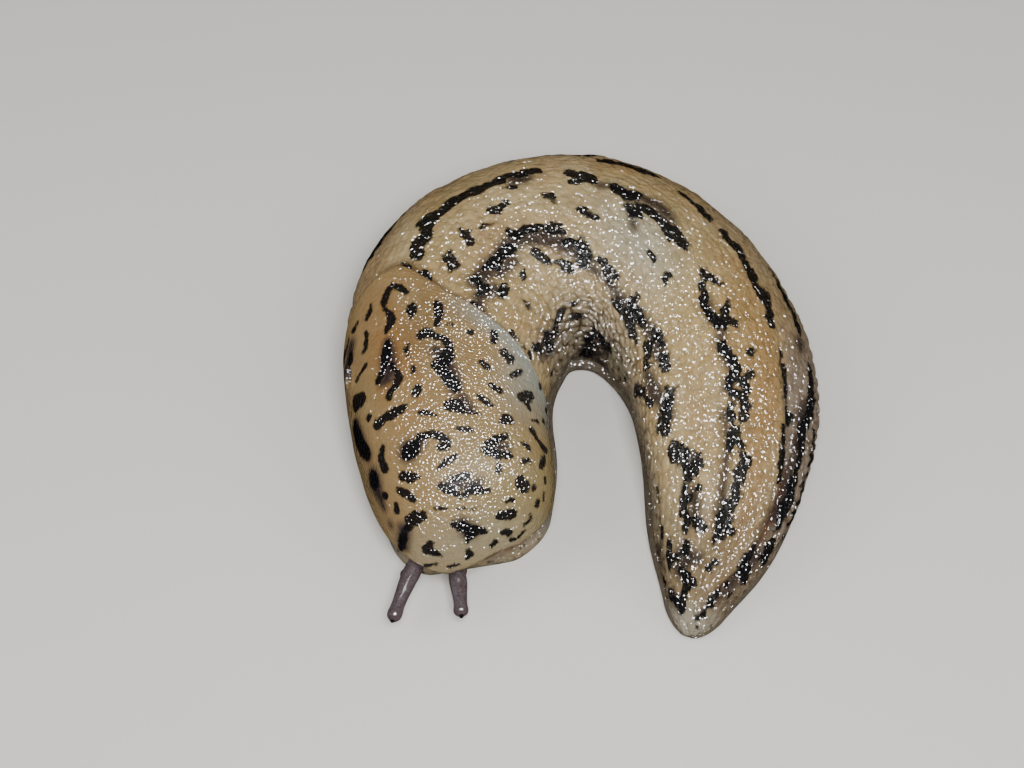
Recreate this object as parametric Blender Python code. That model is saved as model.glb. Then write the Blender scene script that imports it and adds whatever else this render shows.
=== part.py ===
"""Leopard slug, life size, resting on its sole in a bend, with the head drawn in under the mantle."""
import bpy
import numpy as np

MM = 0.001

# Every size below is in millimetres and every angle in degrees unless its name says otherwise.

# Cross sections from the nose to the tail tip: centre x, centre y, turn of the line that
# crosses the body from its right to its left, half width, height, lean of the crest to the left.
STATIONS = np.array([
    (-11.3, -21.2, 12.0, 7.5, 12.6, 0.6),
    (-11.7, -15.6, 9.0, 8.6, 14.2, 0.6),
    (-13.4, -8.0, 4.0, 9.7, 15.4, 0.6),
    (-13.9, -0.5, -2.0, 10.7, 16.0, 0.5),
    (-13.0, 7.6, -15.0, 12.5, 16.3, 0.4),
    (-10.1, 13.9, -38.0, 12.9, 16.4, 0.4),
    (-4.8, 17.5, -62.0, 12.7, 16.4, 0.4),
    (2.5, 18.4, -90.0, 12.6, 16.0, 0.8),
    (10.3, 14.2, -119.0, 12.1, 15.2, 2.0),
    (15.4, 6.0, -145.0, 11.2, 14.4, 3.2),
    (17.0, -4.0, -172.0, 9.9, 13.2, 3.4),
    (16.0, -12.5, -186.0, 7.9, 11.4, 2.4),
    (14.0, -19.5, -194.0, 5.6, 8.4, 1.4),
    (12.3, -24.6, -198.0, 3.0, 4.6, 0.5),
    (11.6, -27.2, -199.0, 2.0, 2.8, 0.0),
])
# The centre of the floor rectangle that the model covers, taken off every x and y.
ORIGIN_X = 0.66
ORIGIN_Y = 1.91

NOSE_REACH = 9.0
NOSE_LEVEL = 2.4
TAIL_REACH = 3.0
TAIL_LEVEL = 1.2
GROOVE_LEVEL = 1.9
SECTION_SWEEP = 118.0
SECTION_POWER = 2.3
WIDEST_LEVEL = 0.42
TUCK = 0.10

MANTLE_MIDDLE = 14.0
MANTLE_FRONT = 0.28
MANTLE_SIDE = 0.86
MANTLE_REAR = 30.4
MANTLE_REAR_AT = -0.28
MANTLE_SLOPE_RIGHT = 8.0
MANTLE_SLOPE_LEFT = 15.0
MANTLE_ROUND = 0.08
MANTLE_POWER = 2.4
# The front rim reaches further at its right corner and less on its left: by what share, at what v
# and over what run.
MANTLE_CORNER, MANTLE_CORNER_AT, MANTLE_CORNER_RUN = 0.13, -0.60, 0.22
MANTLE_RISE, MANTLE_RISE_AT, MANTLE_RISE_RUN = 0.07, 0.30, 0.28
MANTLE_PROUD = 0.85
MANTLE_SEAT = 1.4
GAP = 0.3

HEAD_DRAWN_IN = 0.6
HEAD_REACH = 9.0
HEAD_ASIDE = 3.0
MUZZLE = 0.5
LIP = 0.4
MOUTH_DEPTH = 0.55
MOUTH_LEVEL = 2.75

FOLD_LINE = -0.38
FOLD_DEPTH = 1.0
FOLD_LIP = 0.3
KEEL_HEIGHT = 0.7

FOOT_START = 1.7
FOOT_ROUND = 5.5
FOOT_FLARE = 0.3
# The fringe is spread wider on the left beside the mantle and again beside the tail: how far,
# at what length from the nose, and over what run.
FRONT_SPREAD, FRONT_SPREAD_AT, FRONT_SPREAD_RUN = 2.2, 15.0, 8.0
REAR_SPREAD, REAR_SPREAD_AT, REAR_SPREAD_RUN = 0.8, 88.0, 8.0
FOOT_EDGE_LEVEL = 0.65


def spline_through(knots, values, at):
    """Natural cubic spline through the rows of values, taken at every position in at."""
    count = len(knots)
    step = np.diff(knots)
    matrix = np.zeros((count, count))
    right = np.zeros(values.shape)
    matrix[0, 0] = matrix[-1, -1] = 1.0
    for i in range(1, count - 1):
        matrix[i, i - 1:i + 2] = step[i - 1], 2 * (step[i - 1] + step[i]), step[i]
        slope_after = (values[i + 1] - values[i]) / step[i]
        slope_before = (values[i] - values[i - 1]) / step[i - 1]
        right[i] = 6 * (slope_after - slope_before)
    bend = np.linalg.solve(matrix, right)
    i = np.clip(np.searchsorted(knots, at) - 1, 0, count - 2)
    after = (at - knots[i])[..., None]
    width = step[i][..., None]
    before = width - after
    curve = (bend[i] * before ** 3 + bend[i + 1] * after ** 3) / (6 * width)
    curve += (values[i] / width - bend[i] * width / 6) * before
    curve += (values[i + 1] / width - bend[i + 1] * width / 6) * after
    return curve


KNOTS = np.concatenate([[0.0], np.cumsum(np.hypot(*np.diff(STATIONS[:, :2], axis=0).T))])
BODY_LENGTH = KNOTS[-1]
NOSE_TURN = NOSE_REACH * (np.pi / 2 - 1)
TAIL_TURN = TAIL_REACH * (np.pi / 2 - 1)
SKIN_LENGTH = BODY_LENGTH + NOSE_TURN + TAIL_TURN


def length_of(u):
    """Length along the centre line for a path u that follows the skin over the round nose and tail."""
    u = np.clip(np.asarray(u, float), 0.0, SKIN_LENGTH)
    nose = NOSE_REACH * (1 - np.cos(np.minimum(u / NOSE_REACH, np.pi / 2)))
    rest = SKIN_LENGTH - u
    tail = TAIL_REACH * (1 - np.cos(np.minimum(rest / TAIL_REACH, np.pi / 2)))
    straight = u - NOSE_TURN
    at_nose = u < NOSE_REACH * np.pi / 2
    at_tail = rest < TAIL_REACH * np.pi / 2
    return np.where(at_nose, nose, np.where(at_tail, BODY_LENGTH - tail, straight))


def path_at(length):
    """The path u along the skin for a length along the centre line."""
    if length < NOSE_REACH:
        return NOSE_REACH * np.arccos(1 - length / NOSE_REACH)
    if BODY_LENGTH - length < TAIL_REACH:
        return SKIN_LENGTH - TAIL_REACH * np.arccos(1 - (BODY_LENGTH - length) / TAIL_REACH)
    return length + NOSE_TURN


def smooth(a, b, x):
    t = np.clip((x - a) / (b - a), 0, 1)
    return t * t * (3 - 2 * t)


def bell(x, width):
    return np.exp(-(x / width) ** 2)


def stations_at(u):
    length = length_of(u)
    x, y, turn, half, height, lean = np.moveaxis(spline_through(KNOTS, STATIONS, length), -1, 0)
    left = np.stack([np.cos(np.radians(turn)), np.sin(np.radians(turn))], -1)
    nose = np.clip(1 - length / NOSE_REACH, 0, 1)
    tail = np.clip(1 - (BODY_LENGTH - length) / TAIL_REACH, 0, 1)
    wide = (1 - nose ** 2.6) ** 0.42 * np.sqrt(1 - tail ** 2)
    tall = np.sqrt(1 - nose ** 2.4) * np.sqrt(1 - tail ** 2)
    level = np.where(nose > 0, NOSE_LEVEL, TAIL_LEVEL)
    return np.stack([x, y], -1), left, half * wide, height, lean * tall, tall, level


def body(u, v):
    """Skin of the whole body: u follows the length, v goes from the right groove over the crest to the left.

    Each section is half a rounded oval that is widest low down and tucked in towards the foot groove.
    """
    u, v = np.broadcast_arrays(np.asarray(u, float), np.asarray(v, float))
    centre, left, half, height, lean, tall, level = stations_at(u)
    angle = v * np.radians(SECTION_SWEEP)
    side = np.sign(v) * np.abs(np.sin(angle)) ** (2 / SECTION_POWER)
    rise = np.clip(np.cos(angle), 0, None) ** (2 / SECTION_POWER)
    sink = np.clip(-np.cos(angle), 0, None) / np.sin(np.radians(SECTION_SWEEP - 90))
    groove = np.minimum(GROOVE_LEVEL, 0.4 * height)
    middle = height * WIDEST_LEVEL
    below = np.sign(v) * (1 - TUCK * sink ** 2)
    across = half * np.where(sink > 0, below, side) + lean * rise ** 1.5
    up = np.where(sink > 0, middle - (middle - groove) * sink, middle + (height - middle) * rise)
    up = level + (up - level) * tall
    flat = centre + left * across[..., None]
    return np.concatenate([flat, up[..., None]], -1)


def outward(u, v):
    """Unit normal of the body skin."""
    e_u, e_v = 0.02, 0.001
    u = np.clip(u, 2 * e_u, SKIN_LENGTH - 2 * e_u)
    along = body(u + e_u, v) - body(u - e_u, v)
    around = body(u, v + e_v) - body(u, v - e_v)
    normal = np.cross(around, along)
    return normal / np.linalg.norm(normal, axis=-1, keepdims=True)


def mantle_reach(v, ahead):
    """Distance from the mantle's middle to its rim along the body, ahead of it or behind it."""
    middle = path_at(MANTLE_MIDDLE)
    corner = 1 + MANTLE_CORNER * bell(v - MANTLE_CORNER_AT, MANTLE_CORNER_RUN)
    corner -= MANTLE_RISE * bell(v - MANTLE_RISE_AT, MANTLE_RISE_RUN)
    front = (middle - path_at(MANTLE_FRONT)) * corner
    aside = np.hypot(v - MANTLE_REAR_AT, MANTLE_ROUND) - MANTLE_ROUND
    slope = np.where(v < MANTLE_REAR_AT, MANTLE_SLOPE_RIGHT, MANTLE_SLOPE_LEFT)
    rear = np.maximum(MANTLE_REAR + NOSE_TURN - slope * aside - middle, 3.0)
    return np.where(ahead, front, rear)


def mantle_ratio(u, v):
    """0 at the middle of the mantle and 1 on its rim, an oval that is longer on the right."""
    away = u - path_at(MANTLE_MIDDLE)
    reach = mantle_reach(v, away < 0)
    return (np.abs(away / reach) ** MANTLE_POWER + np.abs(v / MANTLE_SIDE) ** MANTLE_POWER) ** (1 / MANTLE_POWER)


def relief(u, v):
    """Main folds of the skin behind the mantle: the lateral fold of the tail and its keel."""
    length = length_of(u)
    fold = smooth(70, 80, length) * (1 - smooth(93, 100, length))
    line = FOLD_LINE - 0.12 * smooth(74, 91, length) + 0.30 * smooth(94, 101, length)
    aside = v - line
    under = bell(np.minimum(aside, 0), 0.20) * (1 - smooth(-0.10, 0.10, aside))
    lip = bell(aside - 0.12, 0.10)
    keel = smooth(82, 90, length) * (1 - smooth(98, 101, length))
    return KEEL_HEIGHT * keel * bell(v, 0.09) + fold * (FOLD_LIP * lip - FOLD_DEPTH * under)


def core_depth(u, v):
    """How far the flesh lies below the body skin: under the mantle, and more at the drawn-in head."""
    length = length_of(u)
    covered = 1 - smooth(0.86, 1.03, mantle_ratio(u, v))
    seat = MANTLE_SEAT * np.maximum(covered, 1 - smooth(0.0, HEAD_REACH, length))
    drawn = HEAD_DRAWN_IN * (1 - smooth(0.0, HEAD_REACH, length))
    return seat + drawn


def face_across(points):
    """Distance of points on the head to the left of the face's middle, which is turned to the right."""
    turn = np.radians(STATIONS[0, 2])
    aside = points[..., :2] - STATIONS[0, :2]
    return aside[..., 0] * np.cos(turn) + aside[..., 1] * np.sin(turn) + HEAD_ASIDE


def face(points, length):
    """Height of the muzzle and the two lips over the drawn-in head, less the slit of the mouth."""
    across = face_across(points)
    level = points[..., 2]
    muzzle = MUZZLE * bell(across, 3.4) * bell(level - 3.4, 2.4)
    lips = LIP * (bell(across - 0.7, 0.5) + bell(across + 0.7, 0.5)) * bell(level - MOUTH_LEVEL, 0.75)
    slit = MOUTH_DEPTH * bell(across, 0.25) * bell(level - MOUTH_LEVEL, 0.75)
    return (muzzle + lips - slit) * (1 - smooth(1.5, 5.0, length))


def core(u, v):
    """Surface of the flesh."""
    u, v = np.broadcast_arrays(np.asarray(u, float), np.asarray(v, float))
    normal = outward(u, v)
    shift = normal * (relief(u, v) - core_depth(u, v))[..., None]
    shift[..., 2] *= 1 - np.abs(v) ** 16
    points = body(u, v) + shift
    return points + normal * face(points, length_of(u))[..., None]


def on_face(across, level):
    """u and v of the point of the face at a distance to its left and a height."""
    u, v = np.meshgrid(np.linspace(0.2, 7.0, 137), np.linspace(-0.98, 0.98, 197), indexing="ij")
    points = core(u, v)
    miss = np.hypot(face_across(points) - across, points[..., 2] - level)
    nearest = np.argmin(miss)
    return u.flat[nearest], v.flat[nearest]


def remove_all():
    for thing in list(bpy.data.objects):
        bpy.data.objects.remove(thing, do_unlink=True)


def make_material(name, colour, roughness):
    material = bpy.data.materials.new(name)
    material.use_nodes = True
    shader = material.node_tree.nodes["Principled BSDF"]
    shader.inputs["Base Color"].default_value = (*colour, 1.0)
    shader.inputs["Roughness"].default_value = roughness
    shader.inputs["Metallic"].default_value = 0.0
    return material


def add_solid(name, points, faces, material):
    """One closed mesh; points in millimetres, moved so that the model stands on the origin."""
    points = np.asarray(points, float) - np.array([ORIGIN_X, ORIGIN_Y, 0.0])
    mesh = bpy.data.meshes.new(name)
    mesh.from_pydata((points * MM).tolist(), [], faces)
    mesh.validate()
    solid = bpy.data.objects.new(name, mesh)
    bpy.context.scene.collection.objects.link(solid)
    mesh.materials.append(material)
    mesh.shade_smooth()
    return solid


def loft_faces(rings, around, closed_start=True, closed_end=True):
    """Quads between neighbouring closed rings, with a flat face over each open end."""
    faces = []
    for i in range(rings - 1):
        for j in range(around):
            a = i * around + j
            b = i * around + (j + 1) % around
            faces.append((a, b, b + around, a + around))
    if closed_start:
        faces.append(tuple(range(around - 1, -1, -1)))
    if closed_end:
        faces.append(tuple((rings - 1) * around + j for j in range(around)))
    return faces


def flesh_segment(name, u, around, material):
    """A length of the body above the foot, cut square to the centre line at both ends."""
    v = np.linspace(-1, 1, around)
    skin = core(u[:, None], v[None, :])
    across = np.linspace(0, 1, 5)[1:-1]
    first = skin[:, -1][:, None, :]
    last = skin[:, 0][:, None, :]
    under = first + (last - first) * across[None, :, None]
    ring = np.concatenate([skin, under], axis=1)
    count = ring.shape[1]
    return add_solid(name, ring.reshape(-1, 3), loft_faces(len(u), count), material)


def foot_outline(length):
    """Centre line, direction to the left, reach of the foot to each side and height under the groove."""
    x, y, turn, half, height, lean = np.moveaxis(spline_through(KNOTS, STATIONS, length), -1, 0)
    left = np.stack([np.cos(np.radians(turn)), np.sin(np.radians(turn))], -1)
    front = np.clip(1 - (length - FOOT_START) / FOOT_ROUND, 0, 1)
    tail = np.clip(1 - (BODY_LENGTH - length) / TAIL_REACH, 0, 1)
    shape = (1 - front ** 2.5) ** 0.4 * np.sqrt(1 - tail ** 2)
    right_reach = (half * 0.93 + FOOT_FLARE) * shape
    spread = FRONT_SPREAD * bell(length - FRONT_SPREAD_AT, FRONT_SPREAD_RUN)
    spread += REAR_SPREAD * bell(length - REAR_SPREAD_AT, REAR_SPREAD_RUN)
    left_reach = right_reach + spread * shape
    return np.stack([x, y], -1), left, right_reach, left_reach, np.minimum(GROOVE_LEVEL, 0.4 * height)


def foot_segment(name, length, material):
    """A length of the foot: flat sole, thin rounded fringe, flat top under the flesh."""
    centre, left, right_reach, left_reach, groove = foot_outline(length)
    top = groove - GAP
    edge = np.minimum(FOOT_EDGE_LEVEL, 0.45 * top)
    profile = (
        (-1.1, 0.0, 1.0), (-0.6, 0.2, 1.0), (-0.2, 0.6, 1.0), (0.0, 1.0, 1.0),
        (-0.15, 1.0, 0.55), (-0.55, 1.0, 0.15), (-0.9, 1.0, 0.0),
    )
    rows = []
    for sign, reach in ((-1, right_reach), (1, left_reach)):
        shrink = np.minimum(1, reach / 2.5)
        rows.append([])
        for inset, low, high in profile:
            across = sign * (reach + inset * shrink)
            level = edge * low + (top - edge) * (1 - high)
            rows[-1].append(np.concatenate([centre + left * across[:, None], level[:, None]], -1))
    ring = np.stack(rows[0] + rows[1][::-1], axis=1)
    count = ring.shape[1]
    return add_solid(name, ring.reshape(-1, 3), loft_faces(len(length), count), material)


def mantle_shell(name, around, rings, material):
    """The shield: a cap over the front third with a rounded rim, seated over the hollow in the flesh."""
    turn = np.arange(around) * 2 * np.pi / around
    ratio = np.concatenate([np.linspace(0, 1, rings + 1)[1:-1] ** 0.85 * 0.97, [0.985, 1.0]])
    power = 2 / MANTLE_POWER
    v = MANTLE_SIDE * ratio[:, None] * (np.sign(np.sin(turn)) * np.abs(np.sin(turn)) ** power)[None, :]
    lengthwise = -np.cos(turn)
    reach = mantle_reach(v, lengthwise[None, :] < 0)
    shape = np.sign(lengthwise) * np.abs(lengthwise) ** power
    u = path_at(MANTLE_MIDDLE) + reach * ratio[:, None] * shape[None, :]
    skin = body(u, v)
    normal = outward(u, v)
    inside = GAP - MANTLE_SEAT * (1 - smooth(0.72, 0.95, ratio))
    outside = np.full(len(ratio), MANTLE_PROUD)
    outside[-2] = MANTLE_PROUD - 0.06
    outside[-1] = 0.5 * (MANTLE_PROUD + GAP)
    top = skin + normal * outside[:, None, None]
    low = skin[:-1] + normal[:-1] * inside[:-1, None, None]
    middle_u = path_at(MANTLE_MIDDLE)
    pole = body(middle_u, 0.0)
    pole_normal = outward(middle_u, 0.0)
    points = [pole + pole_normal * MANTLE_PROUD, *top.reshape(-1, 3), *low[::-1].reshape(-1, 3)]
    points.append(pole + pole_normal * (GAP - MANTLE_SEAT))
    rows = len(top) + len(low)
    faces = [(0, 1 + (j + 1) % around, 1 + j) for j in range(around)]
    for i in range(rows - 1):
        for j in range(around):
            a = 1 + i * around + j
            b = 1 + i * around + (j + 1) % around
            faces.append((a, b, b + around, a + around))
    start = 1 + (rows - 1) * around
    faces += [(len(points) - 1, start + j, start + (j + 1) % around) for j in range(around)]
    return add_solid(name, points, faces, material)


def cut(solid, cutter):
    """Takes the cutter's volume out of the solid and removes the cutter."""
    cutter.hide_render = True
    cutter.display_type = "WIRE"
    change = solid.modifiers.new("cut", "BOOLEAN")
    change.operation = "DIFFERENCE"
    change.solver = "EXACT"
    change.object = cutter
    bpy.context.view_layer.update()
    graph = bpy.context.evaluated_depsgraph_get()
    mesh = bpy.data.meshes.new_from_object(solid.evaluated_get(graph))
    solid.modifiers.clear()
    solid.data = mesh
    bpy.data.objects.remove(cutter, do_unlink=True)


def ellipsoid(name, centre, axes, material, around=20, rows=12):
    """Closed ellipsoid whose three half axes are given as vectors."""
    axes = np.asarray(axes, float)
    lift = np.linspace(0, np.pi, rows + 1)[1:-1]
    turn = np.arange(around) * 2 * np.pi / around
    unit = np.stack([
        np.sin(lift)[:, None] * np.cos(turn)[None, :],
        np.sin(lift)[:, None] * np.sin(turn)[None, :],
        np.repeat(np.cos(lift)[:, None], around, 1),
    ], -1).reshape(-1, 3)
    unit = np.concatenate([[[0, 0, 1]], unit, [[0, 0, -1]]])
    handed = np.linalg.det(axes) > 0
    faces = [(0, 1 + j, 1 + (j + 1) % around) for j in range(around)]
    for i in range(rows - 2):
        for j in range(around):
            a = 1 + i * around + j
            b = 1 + i * around + (j + 1) % around
            faces.append((a, a + around, b + around, b))
    last = 1 + (rows - 2) * around
    faces += [(last + (j + 1) % around, last + j, len(unit) - 1) for j in range(around)]
    if not handed:
        faces = [face[::-1] for face in faces]
    return add_solid(name, np.asarray(centre) + unit @ axes, faces, material)


def along_curve(start, bend, end, t):
    """Point and direction on a curve from start to end that is drawn towards bend."""
    t = np.asarray(t, float)[:, None]
    point = (1 - t) ** 2 * start + 2 * t * (1 - t) * bend + t ** 2 * end
    way = 2 * (1 - t) * (bend - start) + 2 * t * (end - bend)
    return point, way / np.linalg.norm(way, axis=1, keepdims=True)


def tentacle(name, start, bend, end, profile, around, material):
    """Round stalk along a curve; the profile gives distance from the root and radius, in millimetres."""
    profile = np.asarray(profile, float)
    fine, way = along_curve(start, bend, end, np.linspace(0, 1, 200))
    run = np.concatenate([[0], np.cumsum(np.linalg.norm(np.diff(fine, axis=0), axis=1))])
    length = run[-1]
    place = profile[:, 0] * length
    t = np.interp(np.clip(place, 0, length), run, np.linspace(0, 1, 200))
    centre, way = along_curve(start, bend, end, t)
    first = np.cross(way, [0.0, 0.0, 1.0])
    first /= np.linalg.norm(first, axis=1, keepdims=True)
    second = np.cross(way, first)
    turn = np.arange(around) * 2 * np.pi / around
    ring = centre[:, None, :] + profile[:, 1][:, None, None] * (
        first[:, None, :] * np.cos(turn)[None, :, None] + second[:, None, :] * np.sin(turn)[None, :, None])
    solid = add_solid(name, ring.reshape(-1, 3), loft_faces(len(profile), around), material)
    return solid, centre[-1], way[-1]


remove_all()

SKIN = make_material("spotted_skin", (0.50, 0.36, 0.20), 0.30)
SHIELD = make_material("mantle_skin", (0.55, 0.40, 0.24), 0.28)
SOLE = make_material("foot_skin", (0.36, 0.31, 0.24), 0.35)
FEELER = make_material("tentacle_skin", (0.24, 0.20, 0.22), 0.25)
EYE = make_material("eye_black", (0.004, 0.004, 0.005), 0.12)

# Cuts between the lengths of the body, along the centre line.
NECK_START = 6.5
SHOULDER_START = 14.0
FRONT_START = 31.5
BEND_START = 44.0
MIDDLE_START = 58.0
REAR_START = 73.0
TAIL_START = 87.0
RING_SPACING = 1.6
RING_POINTS = 41
FOLD_RING_POINTS = 57
FACE_RINGS = (0.15, 0.3, 0.5, 0.75, 1.0, 1.3, 1.65, 2.05, 2.5, 3.0, 3.7, 4.6, 5.8, 7.2, 8.8)
FACE_POINTS = 57

flesh_segment("head", np.array((*FACE_RINGS, path_at(NECK_START - GAP / 2))), FACE_POINTS, SKIN)
LENGTHS = (
    ("neck", NECK_START, SHOULDER_START),
    ("torso_shoulder", SHOULDER_START, FRONT_START),
    ("torso_front", FRONT_START, BEND_START),
    ("torso_bend", BEND_START, MIDDLE_START),
    ("torso_middle", MIDDLE_START, REAR_START),
    ("torso_rear", REAR_START, TAIL_START),
    ("tail", TAIL_START, BODY_LENGTH),
)
for node, start, end in LENGTHS:
    first = path_at(start + GAP / 2)
    last = SKIN_LENGTH - 0.35 if node == "tail" else path_at(end - GAP / 2)
    rings = int(round((last - first) / RING_SPACING)) + 1
    if node == "tail":
        rings += 3
    points = FOLD_RING_POINTS if node in ("torso_rear", "tail") else RING_POINTS
    flesh_segment(node, np.linspace(first, last, rings), points, SKIN)

FOOT_CUTS = (29.0, 41.0, 52.0, 64.0)
FOOT_NAMES = ("foot_front", "foot_shoulder", "foot_bend", "foot_middle", "foot_rear")
FOOT_SPACING = 1.8
front_turn = np.linspace(0.1, 1, 7) * np.pi / 2
front_rounds = FOOT_START + FOOT_ROUND * (1 - np.cos(front_turn))
rear_turn = np.linspace(1, 0.12, 5)[1:] * np.pi / 2
rear_rounds = BODY_LENGTH - TAIL_REACH * (1 - np.cos(rear_turn))
for i, node in enumerate(FOOT_NAMES):
    first = front_rounds[-1] if i == 0 else FOOT_CUTS[i - 1] + GAP / 2
    last = BODY_LENGTH - TAIL_REACH if i == len(FOOT_CUTS) else FOOT_CUTS[i] - GAP / 2
    rings = np.linspace(first, last, int(round((last - first) / FOOT_SPACING)) + 1)
    if i == 0:
        rings = np.concatenate([front_rounds[:-1], rings])
    if i == len(FOOT_CUTS):
        rings = np.concatenate([rings, rear_rounds])
    foot_segment(node, rings, SOLE)

mantle = mantle_shell("mantle", 64, 16, SHIELD)

# The breathing hole low on the right of the mantle.
HOLE_U, HOLE_V = path_at(20.5), -0.60
HOLE_LENGTH, HOLE_WIDTH, HOLE_DEPTH = 1.3, 0.8, 1.0
hole_normal = outward(HOLE_U, HOLE_V)
hole_along = body(HOLE_U + 0.05, HOLE_V) - body(HOLE_U - 0.05, HOLE_V)
hole_along /= np.linalg.norm(hole_along)
hole_across = np.cross(hole_normal, hole_along)
hole = ellipsoid(
    "hole_cutter", body(HOLE_U, HOLE_V) + hole_normal * MANTLE_PROUD,
    (hole_along * HOLE_LENGTH, hole_across * HOLE_WIDTH, hole_normal * HOLE_DEPTH), SHIELD)
cut(mantle, hole)

# Stalks: share of the length and radius from the root to the knob, and on into the eye's seat.
EYE_RADIUS = 0.25
EYE_SEAT = 0.33
UPPER_PROFILE = (
    (0.0, 0.86), (0.12, 0.90), (0.26, 0.95), (0.42, 0.90), (0.58, 0.79), (0.72, 0.72),
    (0.80, 0.73), (0.86, 0.78), (0.915, 0.79), (0.955, 0.70), (0.985, 0.50), (1.0, EYE_SEAT), (0.965, 0.24),
)
LOWER_PROFILE = ((0.0, 0.46), (0.3, 0.45), (0.6, 0.43), (0.8, 0.45), (0.93, 0.35), (1.0, 0.16))
# Stalks of the head: distance of the root to the left of the face's middle and its height, straight
# run before the bend, fall of that run and the point where the stalk ends.
STALKS = (
    ("upper_tentacle_right", -1.55, 4.2, 2.0, 0.2, (-19.5, -26.7, 3.7), UPPER_PROFILE, 14),
    ("upper_tentacle_left", 1.5, 3.5, 1.6, 0.2, (-12.3, -26.1, 3.7), UPPER_PROFILE, 14),
    ("lower_tentacle_right", -3.3, 2.15, 0.4, 0.0, (-18.9, -20.4, 1.6), LOWER_PROFILE, 12),
    ("lower_tentacle_left", 2.3, 2.0, 0.4, 0.0, (-12.9, -21.0, 1.5), LOWER_PROFILE, 12),
)
ROOT_OUT = 0.42
for node, root_across, root_level, straight, fall, end, profile, around in STALKS:
    root_u, root_v = on_face(root_across, root_level)
    near = core(root_u, root_v)
    root_normal = np.cross(core(root_u, root_v + 0.02) - near, core(root_u + 0.1, root_v) - near)
    root_normal /= np.linalg.norm(root_normal)
    root = near + root_normal * ROOT_OUT
    bend = root + root_normal * straight - np.array([0.0, 0.0, fall])
    stalk, tip, tip_way = tentacle(node, root, bend, np.array(end), profile, around, FEELER)
    if profile is UPPER_PROFILE:
        side = np.cross(tip_way, (0.0, 0.0, 1.0))
        side /= np.linalg.norm(side)
        up = np.cross(side, tip_way)
        eye_name = node.replace("upper_tentacle", "eye")
        seat = tip + tip_way * (EYE_RADIUS + 0.02)
        ellipsoid(eye_name, seat, np.array((side, up, tip_way)) * EYE_RADIUS, EYE, 12, 7)
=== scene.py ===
import bpy
import numpy as np
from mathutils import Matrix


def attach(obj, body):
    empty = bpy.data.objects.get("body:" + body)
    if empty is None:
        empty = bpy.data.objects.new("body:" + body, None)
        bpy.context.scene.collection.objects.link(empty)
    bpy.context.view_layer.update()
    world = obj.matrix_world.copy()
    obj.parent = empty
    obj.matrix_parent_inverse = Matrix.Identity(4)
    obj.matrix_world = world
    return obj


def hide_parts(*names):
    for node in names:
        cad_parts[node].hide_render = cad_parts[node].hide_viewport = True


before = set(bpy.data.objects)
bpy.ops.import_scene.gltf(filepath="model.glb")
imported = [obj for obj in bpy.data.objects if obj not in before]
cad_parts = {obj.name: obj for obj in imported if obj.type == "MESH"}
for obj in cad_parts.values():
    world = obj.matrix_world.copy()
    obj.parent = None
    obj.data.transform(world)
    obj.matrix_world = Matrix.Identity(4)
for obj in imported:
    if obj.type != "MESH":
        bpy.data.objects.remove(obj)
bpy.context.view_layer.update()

# The flesh: head, neck, torso, tail and foot are one soft body under one wet skin, beaded all over
# behind the mantle. It is a lofted section, widest low down, over a flat foot with a thin fringe.
MM = 0.001
ORIGIN = np.array([0.66, 1.91, 0.0])

# Sections from nose to tail tip in mm and degrees: centre x, centre y, turn of the cross line,
# half width, height, lean of the crest to the left.
STATIONS = np.array([
    (-11.3, -21.2, 12.0, 7.5, 12.6, 0.6),
    (-11.7, -15.6, 9.0, 8.6, 14.2, 0.6),
    (-13.4, -8.0, 4.0, 9.7, 15.4, 0.6),
    (-13.9, -0.5, -2.0, 10.7, 16.0, 0.5),
    (-13.0, 7.6, -15.0, 12.5, 16.3, 0.4),
    (-10.1, 13.9, -38.0, 12.9, 16.4, 0.4),
    (-4.8, 17.5, -62.0, 12.7, 16.4, 0.4),
    (2.5, 18.4, -90.0, 12.6, 16.0, 0.8),
    (10.3, 14.2, -119.0, 12.1, 15.2, 2.0),
    (15.4, 6.0, -145.0, 11.2, 14.4, 3.2),
    (17.0, -4.0, -172.0, 9.9, 13.2, 3.4),
    (16.0, -12.5, -186.0, 7.9, 11.4, 2.4),
    (14.0, -19.5, -194.0, 5.6, 8.4, 1.4),
    (12.3, -24.6, -198.0, 3.0, 4.6, 0.5),
    (11.6, -27.2, -199.0, 2.0, 2.8, 0.0),
])
# How far nose and tail are rounded, the level their rounding closes at, and the nose's powers.
NOSE_REACH, NOSE_LEVEL = 9.0, 2.4
TAIL_REACH, TAIL_LEVEL = 3.0, 1.2
NOSE_WIDE_POWER, NOSE_WIDE_ROOT, NOSE_TALL_POWER = 2.6, 0.42, 2.4
GROOVE_LEVEL = 1.9
SECTION_SWEEP, SECTION_POWER, WIDEST_LEVEL, TUCK = 118.0, 2.3, 0.42, 0.10
MANTLE_MIDDLE, MANTLE_FRONT, MANTLE_SIDE, MANTLE_POWER = 14.0, 0.28, 0.86, 2.4
MANTLE_REAR, MANTLE_REAR_AT, MANTLE_ROUND = 30.4, -0.28, 0.08
MANTLE_SLOPE_RIGHT, MANTLE_SLOPE_LEFT = 8.0, 15.0
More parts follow.
